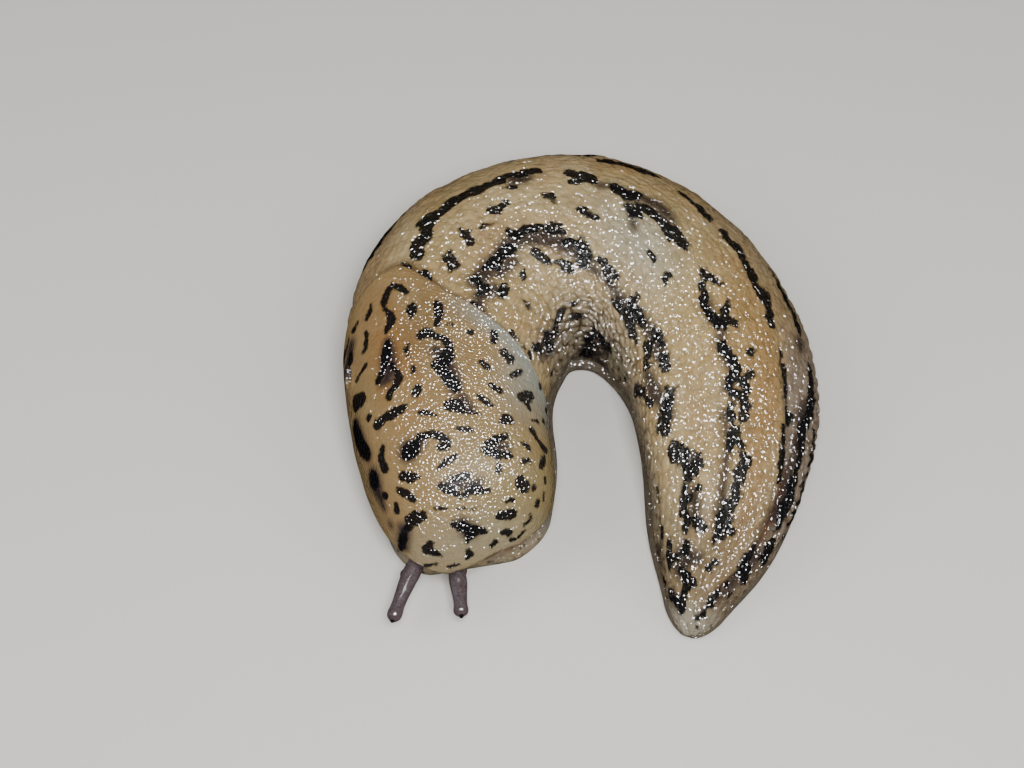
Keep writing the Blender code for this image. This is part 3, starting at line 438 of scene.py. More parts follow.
# The marks are read off the photo, in its pixels, so the camera's place belongs here. A mark
# is a stroke through (pixels from the left, pixels from the top, half width in pixels).
PHOTO_WIDTH, PHOTO_HEIGHT = 1024, 768
LENS, SENSOR, PIXEL_SIZE = 70.0, 36.0, 0.11
CAMERA_RISE = np.radians(57.0)
CAMERA_AIM = np.array([-7.0, 0.0, 8.0])
PIXELS_DEEP = PHOTO_WIDTH * LENS / SENSOR
CAMERA_AWAY = PIXELS_DEEP * PIXEL_SIZE
rightward = np.array([1.0, 0.0, 0.0])
forward = np.array([0.0, np.cos(CAMERA_RISE), -np.sin(CAMERA_RISE)])
upward = np.array([0.0, np.sin(CAMERA_RISE), np.cos(CAMERA_RISE)])
eye_point = CAMERA_AIM - forward * CAMERA_AWAY
BODY_MARKS = dict(
    edge_a=[(399, 211, 2), (391.4, 222, 3), (384, 232, 4), (378, 242, 5), (372.4, 253, 4),
        (365.5, 262.5, 3.6), (362, 270, 2.6)],
    edge_b=[(411, 206.5, 2.8)],
    dorsal_a=[(539.6, 170, 2.2), (529.7, 171.5, 4), (518, 173.2, 4), (506.5, 176, 4.6),
        (498, 181.5, 4.2), (485.7, 186.8, 4.4), (473.3, 192, 5.4), (462.7, 196, 5), (451, 201.8, 5.4),
        (442.8, 209.8, 5.2), (435.4, 217.6, 4.4), (428, 220, 7), (424.8, 223.5, 7), (428, 233.8, 3.8),
        (420.6, 241.5, 6.8), (416, 247.9, 7.2), (418.8, 256, 3.6)],
    dorsal_a_lobe=[(505, 188, 2.6), (514, 187.6, 3)],
    dorsal_b=[(572.4, 172.8, 5.4), (582.7, 176.8, 6.2), (592, 178.6, 5.4), (597, 179, 2)],
    dorsal_b_lobe=[(570, 181.6, 2.4), (579, 181, 3)],
    middle_1=[(461.5, 230.2, 3.2), (466, 231.6, 3.6), (469.6, 238.6, 3.6), (469.4, 243.4, 2)],
    middle_1_tip=[(466, 230, 3), (470.5, 229.4, 2)],
    star=[(442, 255.2, 2.6), (449, 259, 4.6), (455.4, 264, 4)],
    star_tip=[(449, 252.6, 1.6), (449.6, 260, 3), (451, 271, 1.6)],
    star_arm=[(452, 257, 2), (456.6, 253.4, 1.4)],
    neck_blob=[(425.2, 270.4, 3.2), (426.8, 279, 3.8), (430, 286, 4.6), (435.6, 288.6, 2)],
    rim_line=[(402.6, 263.6, 1.4), (410, 268.6, 1.6), (415, 272.4, 2.2), (420, 274.4, 2)],
    middle_2=[(489.9, 208.4, 2.8), (494.2, 212.6, 3.4), (500.4, 208.4, 4), (505.4, 203.2, 3.2)],
    middle_3=[(528, 204.7, 1.8)],
    middle_4=[(481.6, 223.2, 2), (484.6, 224.8, 3), (489, 223.6, 2)],
    middle_5=[(546.5, 194.4, 4.4), (552.5, 196.6, 4.8), (555, 203, 3)],
    middle_6=[(580.2, 206, 3), (584, 212, 4.2), (592.8, 217, 3.6), (597, 219.6, 1.6)],
    inner_1=[(506.6, 229.4, 3.8), (510.6, 233.4, 4.6), (517.4, 236.2, 3.8)],
    inner_2=[(525, 226, 3), (531.5, 228.6, 5.6), (538.4, 225.6, 3.4)],
    inner_3=[(552.4, 223.8, 4.8), (556.6, 229.4, 5.2), (563.6, 231.6, 2.8)],
    inner_4=[(564.8, 243.6, 4.4), (570.8, 241.8, 4.6)],
    inner_5=[(581.4, 239, 3), (582.6, 247, 4)],
    inner_6=[(584.8, 255.4, 6), (584.2, 263, 5.2)],
    inner_7=[(535, 251.6, 3.4), (541, 255.6, 4.8), (551, 260.4, 3.6)],
    inner_8=[(561.5, 263.8, 5.4), (567, 266.8, 5.4)],
    inner_9=[(504.4, 252.4, 5.4), (511.6, 248.4, 4.8)],
    inner_10=[(488, 264.6, 4.4), (495.6, 262.6, 6.4)],
    inner_11=[(472, 277, 3.6), (476, 279.4, 3.6)],
    inner_12=[(485, 286.4, 5.2), (481, 292.6, 5)],
    inner_13=[(502.6, 288, 5), (502.2, 293.4, 5)],
    inner_14=[(521.2, 273, 2.4), (521.4, 277.6, 3.4)],
    inner_15=[(471.6, 306.4, 3.6), (476, 311.6, 4.6), (480, 316.6, 3.4)],
    inner_16=[(463.4, 304.9, 2.4), (471, 306.6, 3)],
    flank_1=[(522.8, 298.6, 2.2), (526.6, 303, 3.2), (530, 307, 1.8)],
    flank_2=[(548.8, 302.9, 2.4)],
    flank_3=[(573, 304, 2)],
    flank_4=[(575.4, 317, 4.6), (582, 317, 4.6)],
    flank_5=[(560.4, 312, 4), (557.4, 322, 4.2), (555.2, 331.6, 3.8)],
    flank_6=[(546.8, 336, 4.2), (551, 345.6, 5.4)],
    flank_7=[(509.4, 331.6, 2.6), (513.4, 334.6, 4), (518.4, 339, 2.4)],
    flank_8=[(523.5, 346.6, 1.2), (528.5, 353, 1.4), (532.4, 361, 2)],
    flank_9=[(537.4, 346.8, 5.2)],
    flank_10=[(542, 363.6, 2)],
    flank_11=[(552.6, 372, 3)],
    flank_12=[(588.4, 340.6, 3.8), (585.6, 355, 3.4)],
    flank_13=[(597.6, 334, 4.4), (603.6, 340.6, 4.6), (607, 348, 3.4)],
    flank_14=[(626.6, 380, 2.4)],
    inner_17=[(600.2, 260.6, 4), (607.4, 269, 5.2), (615, 275.4, 4.8)],
    inner_17_foot=[(612.4, 279, 2.6), (610.8, 287, 2)],
    inner_18=[(616, 302.6, 4.2), (623, 309.4, 4.6), (628.6, 316.6, 4.6), (631, 325, 5.2),
        (632.4, 333.4, 4.6), (636.2, 340, 3.2)],
    inner_19=[(634.4, 297.4, 4.2), (629.6, 303.4, 4.8), (634.6, 311.2, 4.2), (639.4, 318.6, 4.8),
        (643.6, 324, 3.2)],
    inner_20=[(654.4, 328.6, 2.4), (657, 336.4, 5), (661, 342.6, 4.4), (665, 345.4, 2)],
    inner_21=[(647.6, 344.6, 5), (648.8, 351.6, 4), (645.6, 358.4, 3.2), (644.4, 363.4, 3.4),
        (648.2, 367, 2.6)],
    inner_22=[(662.6, 357, 4.6), (666, 365, 5.4)],
    inner_23=[(635.6, 388.6, 4.6), (641.6, 391.6, 5), (643, 396, 2.6)],
    inner_24=[(648.4, 401.6, 3.6), (651.8, 404, 3)],
    inner_25=[(677.4, 385.4, 2.4), (673.4, 391, 3.4), (669, 398.4, 4), (666.2, 404.8, 4.2),
        (668.6, 411.2, 4.4), (665.6, 419, 4.4), (663.4, 426.6, 6.6), (665.6, 431, 4.8)],
    inner_25_arm=[(665.5, 389.7, 3), (668, 395, 2.6)],
    inner_25_twig=[(672, 417.6, 2), (677, 416.6, 1)],
    inner_26=[(677.2, 442, 3.4), (680, 448, 5.2), (684, 453, 4.8)],
    inner_27=[(672.6, 452, 5), (675.2, 457.6, 4.2)],
    inner_28=[(698.4, 454.4, 4.6), (698.2, 462, 4.8), (695.2, 469.4, 5.2)],
    inner_29=[(686.4, 466.8, 3.4), (685.6, 474.8, 4.8), (689, 479, 2.6)],
    inner_30=[(683.6, 489, 4), (687.4, 496, 5)],
    inner_30_side=[(698.4, 488.6, 3.2), (694.6, 491, 2.2)],
    inner_31=[(682.4, 505, 3.8), (684.4, 514, 4.8), (686.8, 522.4, 4.6), (687.4, 529.6, 3.6)],
    inner_32=[(696, 520.6, 4), (701.4, 526.6, 3.6)],
    inner_33=[(687, 546.6, 4.6), (686.2, 553, 4.4)],
    inner_34=[(675.6, 551, 2.8), (676.8, 555.6, 3.2)],
    inner_35=[(671, 558.4, 4.4), (669.6, 563, 3.2)],
    inner_36=[(711, 561, 3), (713.4, 564.6, 5), (716.4, 561.4, 3.4), (708.4, 568.6, 2.4)],
    inner_37=[(683.6, 572.6, 4.2), (688.6, 580, 4.8), (694.4, 585, 2.8)],
    inner_38=[(684.8, 586.6, 3.8), (685.4, 595.4, 3.4), (683.2, 604.6, 2.6), (681.6, 613, 1.4)],
    inner_39=[(661.4, 582.4, 3.2), (663.6, 590.4, 2.4)],
    inner_40=[(672.4, 592.6, 3.8), (675.4, 599, 2.6)],
    outer_a=[(602, 159.8, 2), (614, 162.4, 3.6), (625, 165.4, 3.4), (636.4, 167.8, 3.8),
        (647.2, 171.8, 3.6), (657, 176.6, 2.2)],
    outer_top=[(508, 161.2, 1), (524.7, 158.4, 1.2)],
    outer_top_2=[(554.6, 153.8, 1.6), (566, 154, 2.2), (581, 154.4, 1.6), (594.4, 157, 1.6)],
    dorsal_c=[(611, 184.6, 2.6), (615.4, 188, 4.8), (621.5, 193, 5.8), (631.4, 196.4, 5.4),
        (640.6, 194.8, 3)],
    dorsal_c_low=[(629.6, 206.4, 3.6), (632.8, 213.4, 4.4), (640, 215.8, 2.6)],
    dorsal_c_mid=[(630, 206, 3), (643.4, 206.4, 4.6), (651.4, 213, 4.8), (659.6, 220.4, 4.6),
        (667.6, 227.6, 4.8), (675, 231, 5), (678.6, 237.4, 4.6), (683.6, 242.6, 6.2), (688.4, 243.8, 3)],
    dorsal_c_end=[(669, 238, 2.2), (677, 241.4, 3.4)],
    outer_b=[(676, 190.6, 1.8), (686.6, 197.8, 2.8), (696, 204.8, 3.6), (705, 213, 3.4),
        (711.4, 219.4, 2.8)],
    outer_b_dot=[(720, 229, 2), (724, 232, 3), (727.6, 239.4, 3)],
    outer_b2=[(728, 240, 3), (734.6, 245.4, 5), (738.4, 251.6, 3.2), (742.4, 258.4, 2.4),
        (746.6, 265.2, 2.8), (750.8, 273.6, 4.4), (753.4, 284, 3), (757, 289.6, 2.8), (763, 294.8, 6.2),
        (765.6, 302, 4.4), (768.4, 308, 3.4), (769.2, 314.6, 4.6), (770, 321, 3.4), (773.6, 329.6, 1.8)],
    outer_c=[(780.6, 348.6, 2.2), (780.6, 355, 2.4), (780, 361, 2), (782.8, 367.6, 3.8),
        (784, 376, 1.6), (784.8, 383, 2), (785.6, 391.6, 2.4), (787.4, 401, 2.6), (786.6, 408, 1.6),
        (789.6, 415.6, 4.2), (787, 423.4, 3), (783.4, 430.4, 2.4), (783, 440, 2.4), (782, 450, 2.6),
        (783.6, 456.8, 4.4), (780.6, 466.6, 3.4), (779.8, 475.6, 2.4), (777, 483, 1.2), (774.6, 487.4, 1)],
    outer_d=[(769.8, 269, 1), (778, 284, 1.4), (786, 296.6, 2), (791, 306, 2.6), (794.5, 315, 3),
        (797.4, 325.4, 2.8), (801, 335, 1.4)],
    outer_e=[(810.2, 367, 2), (810, 376.6, 2.6), (811, 386, 3), (812.4, 395, 4), (812.4, 405, 3.6),
        (810.4, 414.6, 3.4), (806.6, 422.6, 3.4), (801.6, 431.4, 4.2), (801.8, 442, 3.6),
        (801, 453, 2.4), (798.8, 464.6, 1.8), (797, 473, 2), (793, 479.8, 2.8), (792, 488, 3.6),
        (790, 497, 4.4), (786.6, 503.6, 4.6), (782.6, 509.6, 4), (779.6, 519.6, 2.6), (776.4, 528.6, 2),
        (772.2, 532.8, 1.2)],
    outer_f=[(772.1, 543.4, 3), (769, 550.6, 4.4), (764, 558.6, 3.8)],
    outer_fold=[(755, 546, 1.2), (751, 552, 3), (746, 559, 4.8), (742, 566, 5.2), (740, 572, 3)],
    fold_line_1=[(730, 581, 1.2), (724, 585, 2.2), (719, 589, 1.8)],
    fold_line_2=[(720, 591, 1.4), (714, 597, 2.8), (709, 604, 2.4), (706, 608, 1.6)],
    outer_g=[(748.4, 570.6, 3.6), (746, 579, 4)],
    outer_h=[(733.4, 592.6, 2.6), (729, 596, 2)],
    outer_i=[(704.5, 612, 2), (700, 616.5, 3), (697.5, 619, 2.4)],
    outer_j=[(815, 430, 1.2), (813, 455, 1.2), (804, 484, 1.2), (801, 495, 1.6), (795.4, 513, 1.4),
        (788, 528, 1.4)],
    outer_k=[(783, 538, 1.6), (778, 546, 2)],
    tip_dot=[(698, 627, 1.2)],
    limb_a=[(700, 267.4, 2), (704.6, 273.4, 5), (711, 279, 5), (718, 282.4, 4.6), (724, 284.4, 2.6)],
    limb_a_loop=[(702.4, 285.6, 3.4), (704.4, 297, 3.8), (704, 305.6, 3.4), (708, 313.6, 3.4),
        (715, 319, 4.6), (722, 320.4, 6.2), (731, 321.6, 4.8)],
    limb_a_side=[(727, 301, 1.8), (726.6, 309, 3.2), (725.6, 315, 3.4)],
    limb_a_foot=[(716, 326, 3), (722.6, 330, 1.6)],
    limb_b=[(721.6, 341, 2.2), (722.8, 348.6, 4), (729.6, 354, 4), (734.6, 362.6, 3.6), (738.4, 370, 2.6)],
    limb_b_low=[(719, 351.6, 2.6), (726, 358, 2.4)],
    limb_dot=[(751, 353.2, 3.8), (756.2, 351.2, 1.4)],
    ring_left=[(738.4, 371.4, 2.6), (731, 376.6, 3), (727.4, 385, 3), (730.2, 391.2, 3), (737, 393.4, 2.2)],
    ring_right=[(741, 378.8, 3.4), (746.4, 384.6, 3.2), (748.4, 391.4, 3), (744.4, 397.6, 3.4)],
    ring_top=[(741.6, 380, 3), (746.6, 375.6, 3.4), (752, 374.6, 1.8)],
    limb_c=[(744.6, 399.6, 4), (746, 405.6, 5.8), (743.6, 412.6, 5), (741.6, 420, 3.2), (741, 425, 1.4)],
    limb_c_left=[(733, 404.4, 2.4), (728.6, 410.6, 3.6), (732, 416.6, 3)],
    limb_c_twig=[(726, 415, 2), (718.4, 419.4, 1.6)],
    limb_d=[(735, 428, 3.2), (734.6, 434, 5.2), (731, 440, 4.4), (728, 447.4, 2)],
    limb_d_arm=[(738, 441, 3.4), (743.6, 446.8, 2.4)],
    limb_e=[(741.6, 452.6, 2.6), (744.6, 457, 4.6), (744.8, 464, 6), (739.8, 471, 5.8), (741, 478, 4),
        (742.6, 483.4, 2.8)],
    limb_e_arm=[(747.4, 455.4, 2.4), (748, 466, 3)],
    limb_f=[(733.6, 487.6, 3), (736.6, 493.6, 4.8), (734, 501.6, 4.6)],
    limb_g=[(723.6, 500.6, 3), (727.6, 507.4, 4.2), (722.6, 513.4, 3.8), (719.4, 518.6, 3.4),
        (720.6, 526, 3.8), (719.4, 533, 4.4), (717, 538.4, 3.8), (713, 541, 3.4), (713, 546, 2.8)],
    limb_g_arm=[(729.6, 520.4, 2.8), (727.6, 528, 3.4), (733.6, 533.6, 1.8)],
    bend_dot_1=[(647.5, 252, 2.6), (654, 257, 3.2), (655.6, 261, 2.8), (653, 264, 2)],
    bend_dot_2=[(676, 272.5, 1.8), (669, 274, 3), (666.6, 279, 3.2), (666.6, 283, 2.4)],
    foot_1=[(656.6, 489.4, 1.2), (658, 498.4, 1.4)],
    foot_2=[(659.2, 509, 1.2), (660, 519, 1.2)],
    foot_3=[(659.6, 527.6, 1.6), (662.2, 537.4, 2.2)],
    foot_4=[(669, 541, 2), (669.4, 545.4, 1.6)],
)
# Smoky ground round the marks, read the same way. The stroke under the fold's lip is painted shadow,
# and one on the inner flank is partly painted shade.
BODY_SMOKE = dict(
    band_1=[(476, 281, 9), (487, 270, 10), (500, 258, 10), (510, 244, 10), (524, 237, 9.5),
        (540, 237, 10), (556, 240, 10), (570, 247, 9.5), (582, 256, 8)],
    band_1_mid=[(500, 272, 7), (512, 262, 7)],
    band_1_end=[(494, 290, 8), (478, 296, 6), (480, 310, 6)],
    band_2=[(592, 268, 6), (601, 274, 5), (612, 285, 6), (618, 296, 6), (628, 306, 8), (637, 316, 9),
        (646, 326, 7), (655, 340, 9), (660, 356, 8)],
    band_3=[(648, 376, 6), (654, 392, 9), (664, 402, 9), (668, 416, 7)],
    band_4=[(686, 458, 9), (690, 470, 7)],
    band_5=[(693, 492, 7), (696, 506, 6), (694, 518, 6)],
    band_6=[(686, 556, 11), (697, 558, 6), (678, 566, 7), (684, 576, 7)],
    band_7=[(672, 596, 5), (677, 606, 3.6)],
    dorsal_halo=[(514, 181, 6), (527, 178, 5)],
    dorsal_c_halo=[(600, 184.6, 4), (607, 184, 3), (645, 199, 5.4), (657, 205, 6), (666, 213, 6),
        (674, 224, 3)],
    finger=[(632, 214, 4), (633, 227, 3.6)],
    limb_halo=[(706, 300, 6), (712, 318, 6), (722, 330, 5), (720, 344, 5), (726, 358, 6), (734, 372, 5),
        (726, 388, 5), (736, 398, 4)],
    limb_halo_2=[(724, 412, 4), (728, 440, 4), (722, 498, 5), (718, 510, 4), (718, 528, 5)],
    outer_halo=[(799.5, 343, 4.4), (799, 350, 3)],
    outer_halo_2=[(796, 440, 5), (796, 456, 4), (791, 470, 4.4), (786, 492, 5.4), (778, 506, 5),
        (772, 519, 4)],
    # painted shadow under the fold's overhanging lip, laid on as smoky ground
    shadow_under_fold_lip=[(754, 556, 6), (745, 568, 7), (735, 580, 5.6), (724, 591, 4.6), (711, 603, 4)],
    outer_halo_3=[(806, 408, 6), (802, 420, 6)],
    flank_halo=[(547, 336, 5.6), (551.5, 346.4, 6.4), (540, 352, 6), (556, 330, 5)],
    # partly smoky ground, partly painted shade on the inner flank of the curl
    flank_smoke_and_shade=[(596, 338, 8), (606, 346, 7), (588, 350, 8), (600, 362, 7)],
    foot_halo=[(656.6, 549.9, 3.6), (661, 549, 3), (656.6, 563.2, 3.2), (661.6, 562.7, 3)],
    side_halo=[(662.6, 586, 4.4)],
)
# Furthest distance to a mark in mm, pixels from ball to ball, how squarely the skin has to face the
# camera to be seen and to take a ball on its plane, and the least and the power used for widening.
MARK_REACH, BALL_STEP = 2.0, 2.2
SEEN_FROM, PLANE_FROM, WIDEN_FROM, WIDEN_POWER = 0.02, 0.3, 0.4, 0.6


def facing_camera(points, normals):
    """Lines of sight to points of a skin, and how squarely each faces the camera: 1 fully, 0 edge on."""
    sight = points - eye_point
    return sight, -(sight * normals).sum(-1) / np.linalg.norm(sight, axis=-1)


def laid_on(marks, skin_at, normals):
    """Chains of balls on a skin, in mm, for marks in pixels.

    A ball lies where the line of sight through its pixel meets the plane that touches the skin at the
    nearest point that faces the camera. Its radius is the mark's half width, more on a slope, where
    the mark is seen narrower than it is.
    """
    sight, facing = facing_camera(skin_at, normals)
    seen = facing > SEEN_FROM
    skin_at, normals, facing, sight = skin_at[seen], normals[seen], facing[seen], sight[seen]
    depth = sight @ forward
    column = PHOTO_WIDTH / 2 + PIXELS_DEEP * (sight @ rightward) / depth
    line = PHOTO_HEIGHT / 2 - PIXELS_DEEP * (sight @ upward) / depth
    chains = []
    for mark in marks.values():
        x, y, half = np.array(mark, float).T
        run = np.concatenate([[0], np.cumsum(np.hypot(np.diff(x), np.diff(y)))])
        at = np.linspace(0, run[-1], int(run[-1] / BALL_STEP) + 1)
        x, y, half = np.interp(at, run, x), np.interp(at, run, y), np.interp(at, run, half)
        nearest = np.argmin((column - x[:, None]) ** 2 + (line - y[:, None]) ** 2, axis=1)
        across, up = (x - PHOTO_WIDTH / 2) / PIXELS_DEEP, (PHOTO_HEIGHT / 2 - y) / PIXELS_DEEP
        ray = forward + across[:, None] * rightward + up[:, None] * upward
        steep = (ray * normals[nearest]).sum(-1)
        reach = (sight[nearest] * normals[nearest]).sum(-1) / np.minimum(steep, -1e-3)
        place = eye_point + ray * reach[:, None]
        place = np.where((facing[nearest] > PLANE_FROM)[:, None], place, skin_at[nearest])
        radius = half * PIXEL_SIZE / np.clip(facing[nearest], WIDEN_FROM, 1) ** WIDEN_POWER
        chains.append((place, radius))
    return chains


def depth_in(points, chains):
    """Distance in mm from points to the nearest mark, below zero inside it."""
    far = np.full(points.shape[:-1], MARK_REACH)
    for balls, radius in chains:
        middle = balls.mean(0)
        size = np.linalg.norm(balls - middle, axis=1).max() + radius.max() + MARK_REACH
        near = np.linalg.norm(points - middle, axis=-1) < size
        gap = np.linalg.norm(points[near][:, None, :] - balls, axis=-1) - radius
        far[near] = np.minimum(far[near], gap.min(-1))
    return far


along = np.gradient(flesh, axis=0)
along /= np.linalg.norm(along, axis=-1, keepdims=True)
around = np.gradient(flesh, axis=1)
around /= np.linalg.norm(around, axis=-1, keepdims=True) + 1e-9
bead_centres = flesh + along * bead_ahead[..., None] + around * bead_aside[..., None]
open_skin = mantle_ratio(U, V) > 1.0
body_marks = laid_on(BODY_MARKS, flesh[open_skin], flesh_normal[open_skin])
body_smoke = laid_on(BODY_SMOKE, flesh[open_skin], flesh_normal[open_skin])
POINT_SHARE, BEAD_SHARE = 0.4, 0.6
ink = POINT_SHARE * depth_in(flesh, body_marks) + BEAD_SHARE * depth_in(bead_centres, body_marks)
smoke = 1 - smooth(-0.7, 0.8, depth_in(flesh, body_smoke))

# The photo doesn't show the far side. There the pattern is the one usual for the species: a row of
# long blotches low on the flank and small spots below it. OFF takes marks away where it is added.
BAND_V, BAND_HALF, BAND_SWING, MM_PER_V = -0.66, 0.15, 1.9, 23.0
SPOTS_FROM, SPOTS_TO, SPOT_LEVEL, SPOT_SLOPE, OFF = -0.93, -0.74, 0.5, 1.6, 3.0
unseen = smooth(0.0, 0.2, -facing_camera(flesh, flesh_normal)[1])
band = np.abs(V - BAND_V) * MM_PER_V - BAND_HALF - BAND_SWING * lumps(flesh, 3.4, 51)
outside = np.maximum(SPOTS_FROM - V, V - SPOTS_TO)
spots = SPOT_SLOPE * (SPOT_LEVEL - lumps(flesh, 1.8, 52)) + MM_PER_V * np.clip(outside, 0, None)
far_marks = np.minimum(band, spots) + OFF * (1 - unseen) + OFF * (1 - smooth(20, 24, L))
ink = np.minimum(ink, far_marks)


def closed_tube(ring, first_pole, last_pole):
    """Corner lists of a tube of closed rings: quads between rings and a fan to a point at each end."""
    rings, around = ring.shape[:2]
    a = (np.arange(rings - 1)[:, None] * around + np.arange(around)[None, :]).ravel()
    b = (np.arange(rings - 1)[:, None] * around + (np.arange(around) + 1)[None, :] % around).ravel()
    quads = np.stack([a, b, b + around, a + around], -1)
    points = np.concatenate([ring.reshape(-1, 3), [first_pole, last_pole]])
    turn = np.arange(around)
    first_fan = np.stack([turn, np.full(around, rings * around), (turn + 1) % around], -1)
    last = (rings - 1) * around
    last_fan = np.stack([last + turn, last + (turn + 1) % around, np.full(around, rings * around + 1)], -1)
    return points, quads, np.concatenate([first_fan, last_fan])


def tube_map(rings, around):
    """Flat map of a tube: one axis along it and the other around it, the last strip closing the turn."""
    margin = 0.005

    def place(corners, quads):
        ring_at = np.minimum(corners // around, rings - 1)
        turn_at = (corners % around).astype(float)
        turn_at[corners >= rings * around] = around / 2
        square = turn_at[:quads * 4].reshape(-1, 4)
        wraps = (square.max(1) - square.min(1) > around / 2)[:, None]
        turn_at[:quads * 4] = np.where(wraps & (square < 1), around, square).ravel()
        flat = np.stack([ring_at / (rings - 1), turn_at / around], -1)
        return margin + (1 - 2 * margin) * flat
    return place


def add_piece(name, points, quads, triangles, flat_map, values):
    """A smooth mesh object from points in mm and corner lists, with one attribute for each named value."""
    mesh = bpy.data.meshes.new(name)
    corners = np.concatenate([quads.ravel(), triangles.ravel()])
    sizes = np.concatenate([np.full(len(quads), 4), np.full(len(triangles), 3)])
    mesh.vertices.add(len(points))
    mesh.vertices.foreach_set("co", ((points - ORIGIN) * MM).ravel())
    mesh.loops.add(len(corners))
    mesh.loops.foreach_set("vertex_index", corners.astype(np.int32))
    mesh.polygons.add(len(sizes))
    mesh.polygons.foreach_set("loop_start", np.concatenate([[0], np.cumsum(sizes)[:-1]]).astype(np.int32))
    mesh.polygons.foreach_set("loop_total", sizes.astype(np.int32))
    mesh.update(calc_edges=True)
    mesh.validate()
    for label, value in values.items():
        value = np.asarray(value, np.float32)
        if value.ndim == 1:
            mesh.attributes.new(label, "FLOAT", "POINT").data.foreach_set("value", value)
        else:
            value = np.concatenate([value, np.ones((len(value), 1), np.float32)], 1)
            mesh.attributes.new(label, "FLOAT_COLOR", "POINT").data.foreach_set("color", value.ravel())
    uv = mesh.uv_layers.new(name="OFBake")
    uv.data.foreach_set("uv", flat_map(corners, len(quads)).astype(np.float32).ravel())
    mesh.shade_smooth()
    piece = bpy.data.objects.new(name, mesh)
    bpy.context.scene.collection.objects.link(piece)
    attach(piece, "root")
    return piece


def linear(code):
    """Linear colour of an sRGB hex code."""
    value = np.array([int(code[i:i + 2], 16) for i in (1, 3, 5)]) / 255
    return np.where(value <= 0.04045, value / 12.92, ((value + 0.055) / 1.055) ** 2.4)


def tinted(ground, patches, shape):
    """A field of one colour with the colours of patches laid on in turn, each by its share from 0 to 1."""
    colour = np.broadcast_to(linear(ground), shape)
    for code, share in patches.values():
        colour = colour + (linear(code) - colour) * np.clip(share, 0, 1)[..., None]
    return colour


# Colour of the flesh before its marks: tan above, greyer and darker down the flanks and along the tail,
# pale grey in a patch on the bend, orange-brown in the gap in front of the mantle's rim. Painted shade
# darkens the inner flank of the curl, the crease above the foot's groove and the head under the mantle,
# and painted shadow lies behind the mantle's rim, in the tail's fold and under the fold's lip.
front = 1 - smooth(14, 20, L)
body_patches = dict(
    pale_lumps=("#B09E78", 0.6 * smooth(-0.3, 0.6, lumps(flesh, 5.0, 41))),
    orange_lumps=("#9C7648", 0.35 * smooth(0.0, 0.7, lumps(flesh, 3.2, 43))),
    grey_on_bend=("#A5A28E", 0.8 * bell(L - 56, 6) * bell(V - 0.02, 0.14)),
    pale_on_bend=("#B8A47C", 0.6 * bell(L - 43, 7) * bell(V + 0.08, 0.16)),
    outer_side=("#857156", 0.75 * smooth(0.22, 0.62, -V)),
    orange_limb=("#8E693A", 0.65 * bell(V + 0.27, 0.12) * smooth(60, 72, L)),
    pale_crest=("#B79C6A", 0.5 * bell(L - 70, 9) * bell(V, 0.2)),
    # painted shade: the inner flank of the curl, darker and greyer
    inner_side_shade=("#706859", 0.85 * smooth(0.28, 0.60, V) * smooth(19, 27, L)),
    outer_flank=("#716A5C", 0.85 * smooth(0.55, 0.8, -V)),
    # painted shade in the crease above the foot's groove
    groove_crease_shade=("#4E463A", 0.85 * smooth(0.74, 0.95, np.abs(V))),
    # the head's own grey, darkened as painted shade under the mantle
    head_grey_and_shade=("#736C62", 0.9 * front),
    orange_gap=("#7E4218", 0.85 * bell(L - 1.5, 2.5) * smooth(0.05, 0.4, V) * front),
    # painted shadow of the mantle's rim on the body behind it
    shadow_behind_rim=("#4E3620", 0.8 * bell(mantle_ratio(U, V) - 1.02, 0.03) * (1 - front)),
    # painted shade in the floor of the tail's fold
    fold_floor_shade=("#3A2210", 0.9 * smooth(0.25, 0.8, -relief(U, V)) * smooth(84, 88, L)),
    below_fold=("#766A5E", 0.8 * smooth(70, 76, L) * between(0.41, 0.46, 0.8, 0.9, -V)),
    below_fold_shade=("#4A3A2C", 0.8 * between(82, 88, 95, 98, L) * bell(V + 0.47, 0.06)),
    # painted shadow: a dark brown line under the fold's overhanging lip
    shadow_under_lip=("#582C0C", 0.95 * between(84, 88, 99, 101, L) * bell(V - fold_line(L) + 0.04, 0.045)),
    tail_end=("#6C5E49", 0.7 * smooth(86, 97, L)),
    tail_tip=("#97907F", 0.8 * smooth(99.2, 101.0, L)),
)
tint = tinted("#A08A60", body_patches, flesh.shape)
# The foot: grey-brown, its ground colour darkened as painted shade where it lies under the body.
foot_length = np.repeat(ring_length[:, None], foot_points.shape[1], 1)
foot_patches = dict(
    front=("#6F6A60", 1 - smooth(14, 20, foot_length)),
    flange=("#91836A", 0.9 * (1 - smooth(3, 7, foot_length))),
)
foot_tint_and_shade = tinted("#5F5649", foot_patches, foot_points.shape)
SMOOTH_DOME, FOOT_FLANK = 0.75, 0.3


def whole(skin_value, foot_value):
    """A value for every point of the skin: the beaded grid, the foot below it and the two poles."""
    foot = np.broadcast_to(np.asarray(foot_value, float), foot_points.shape[:2] + skin_value.shape[2:])
    rows = np.concatenate([skin_value, foot], axis=1).reshape((-1,) + skin_value.shape[2:])
    return np.concatenate([rows, rows[:1], rows[-1:]])


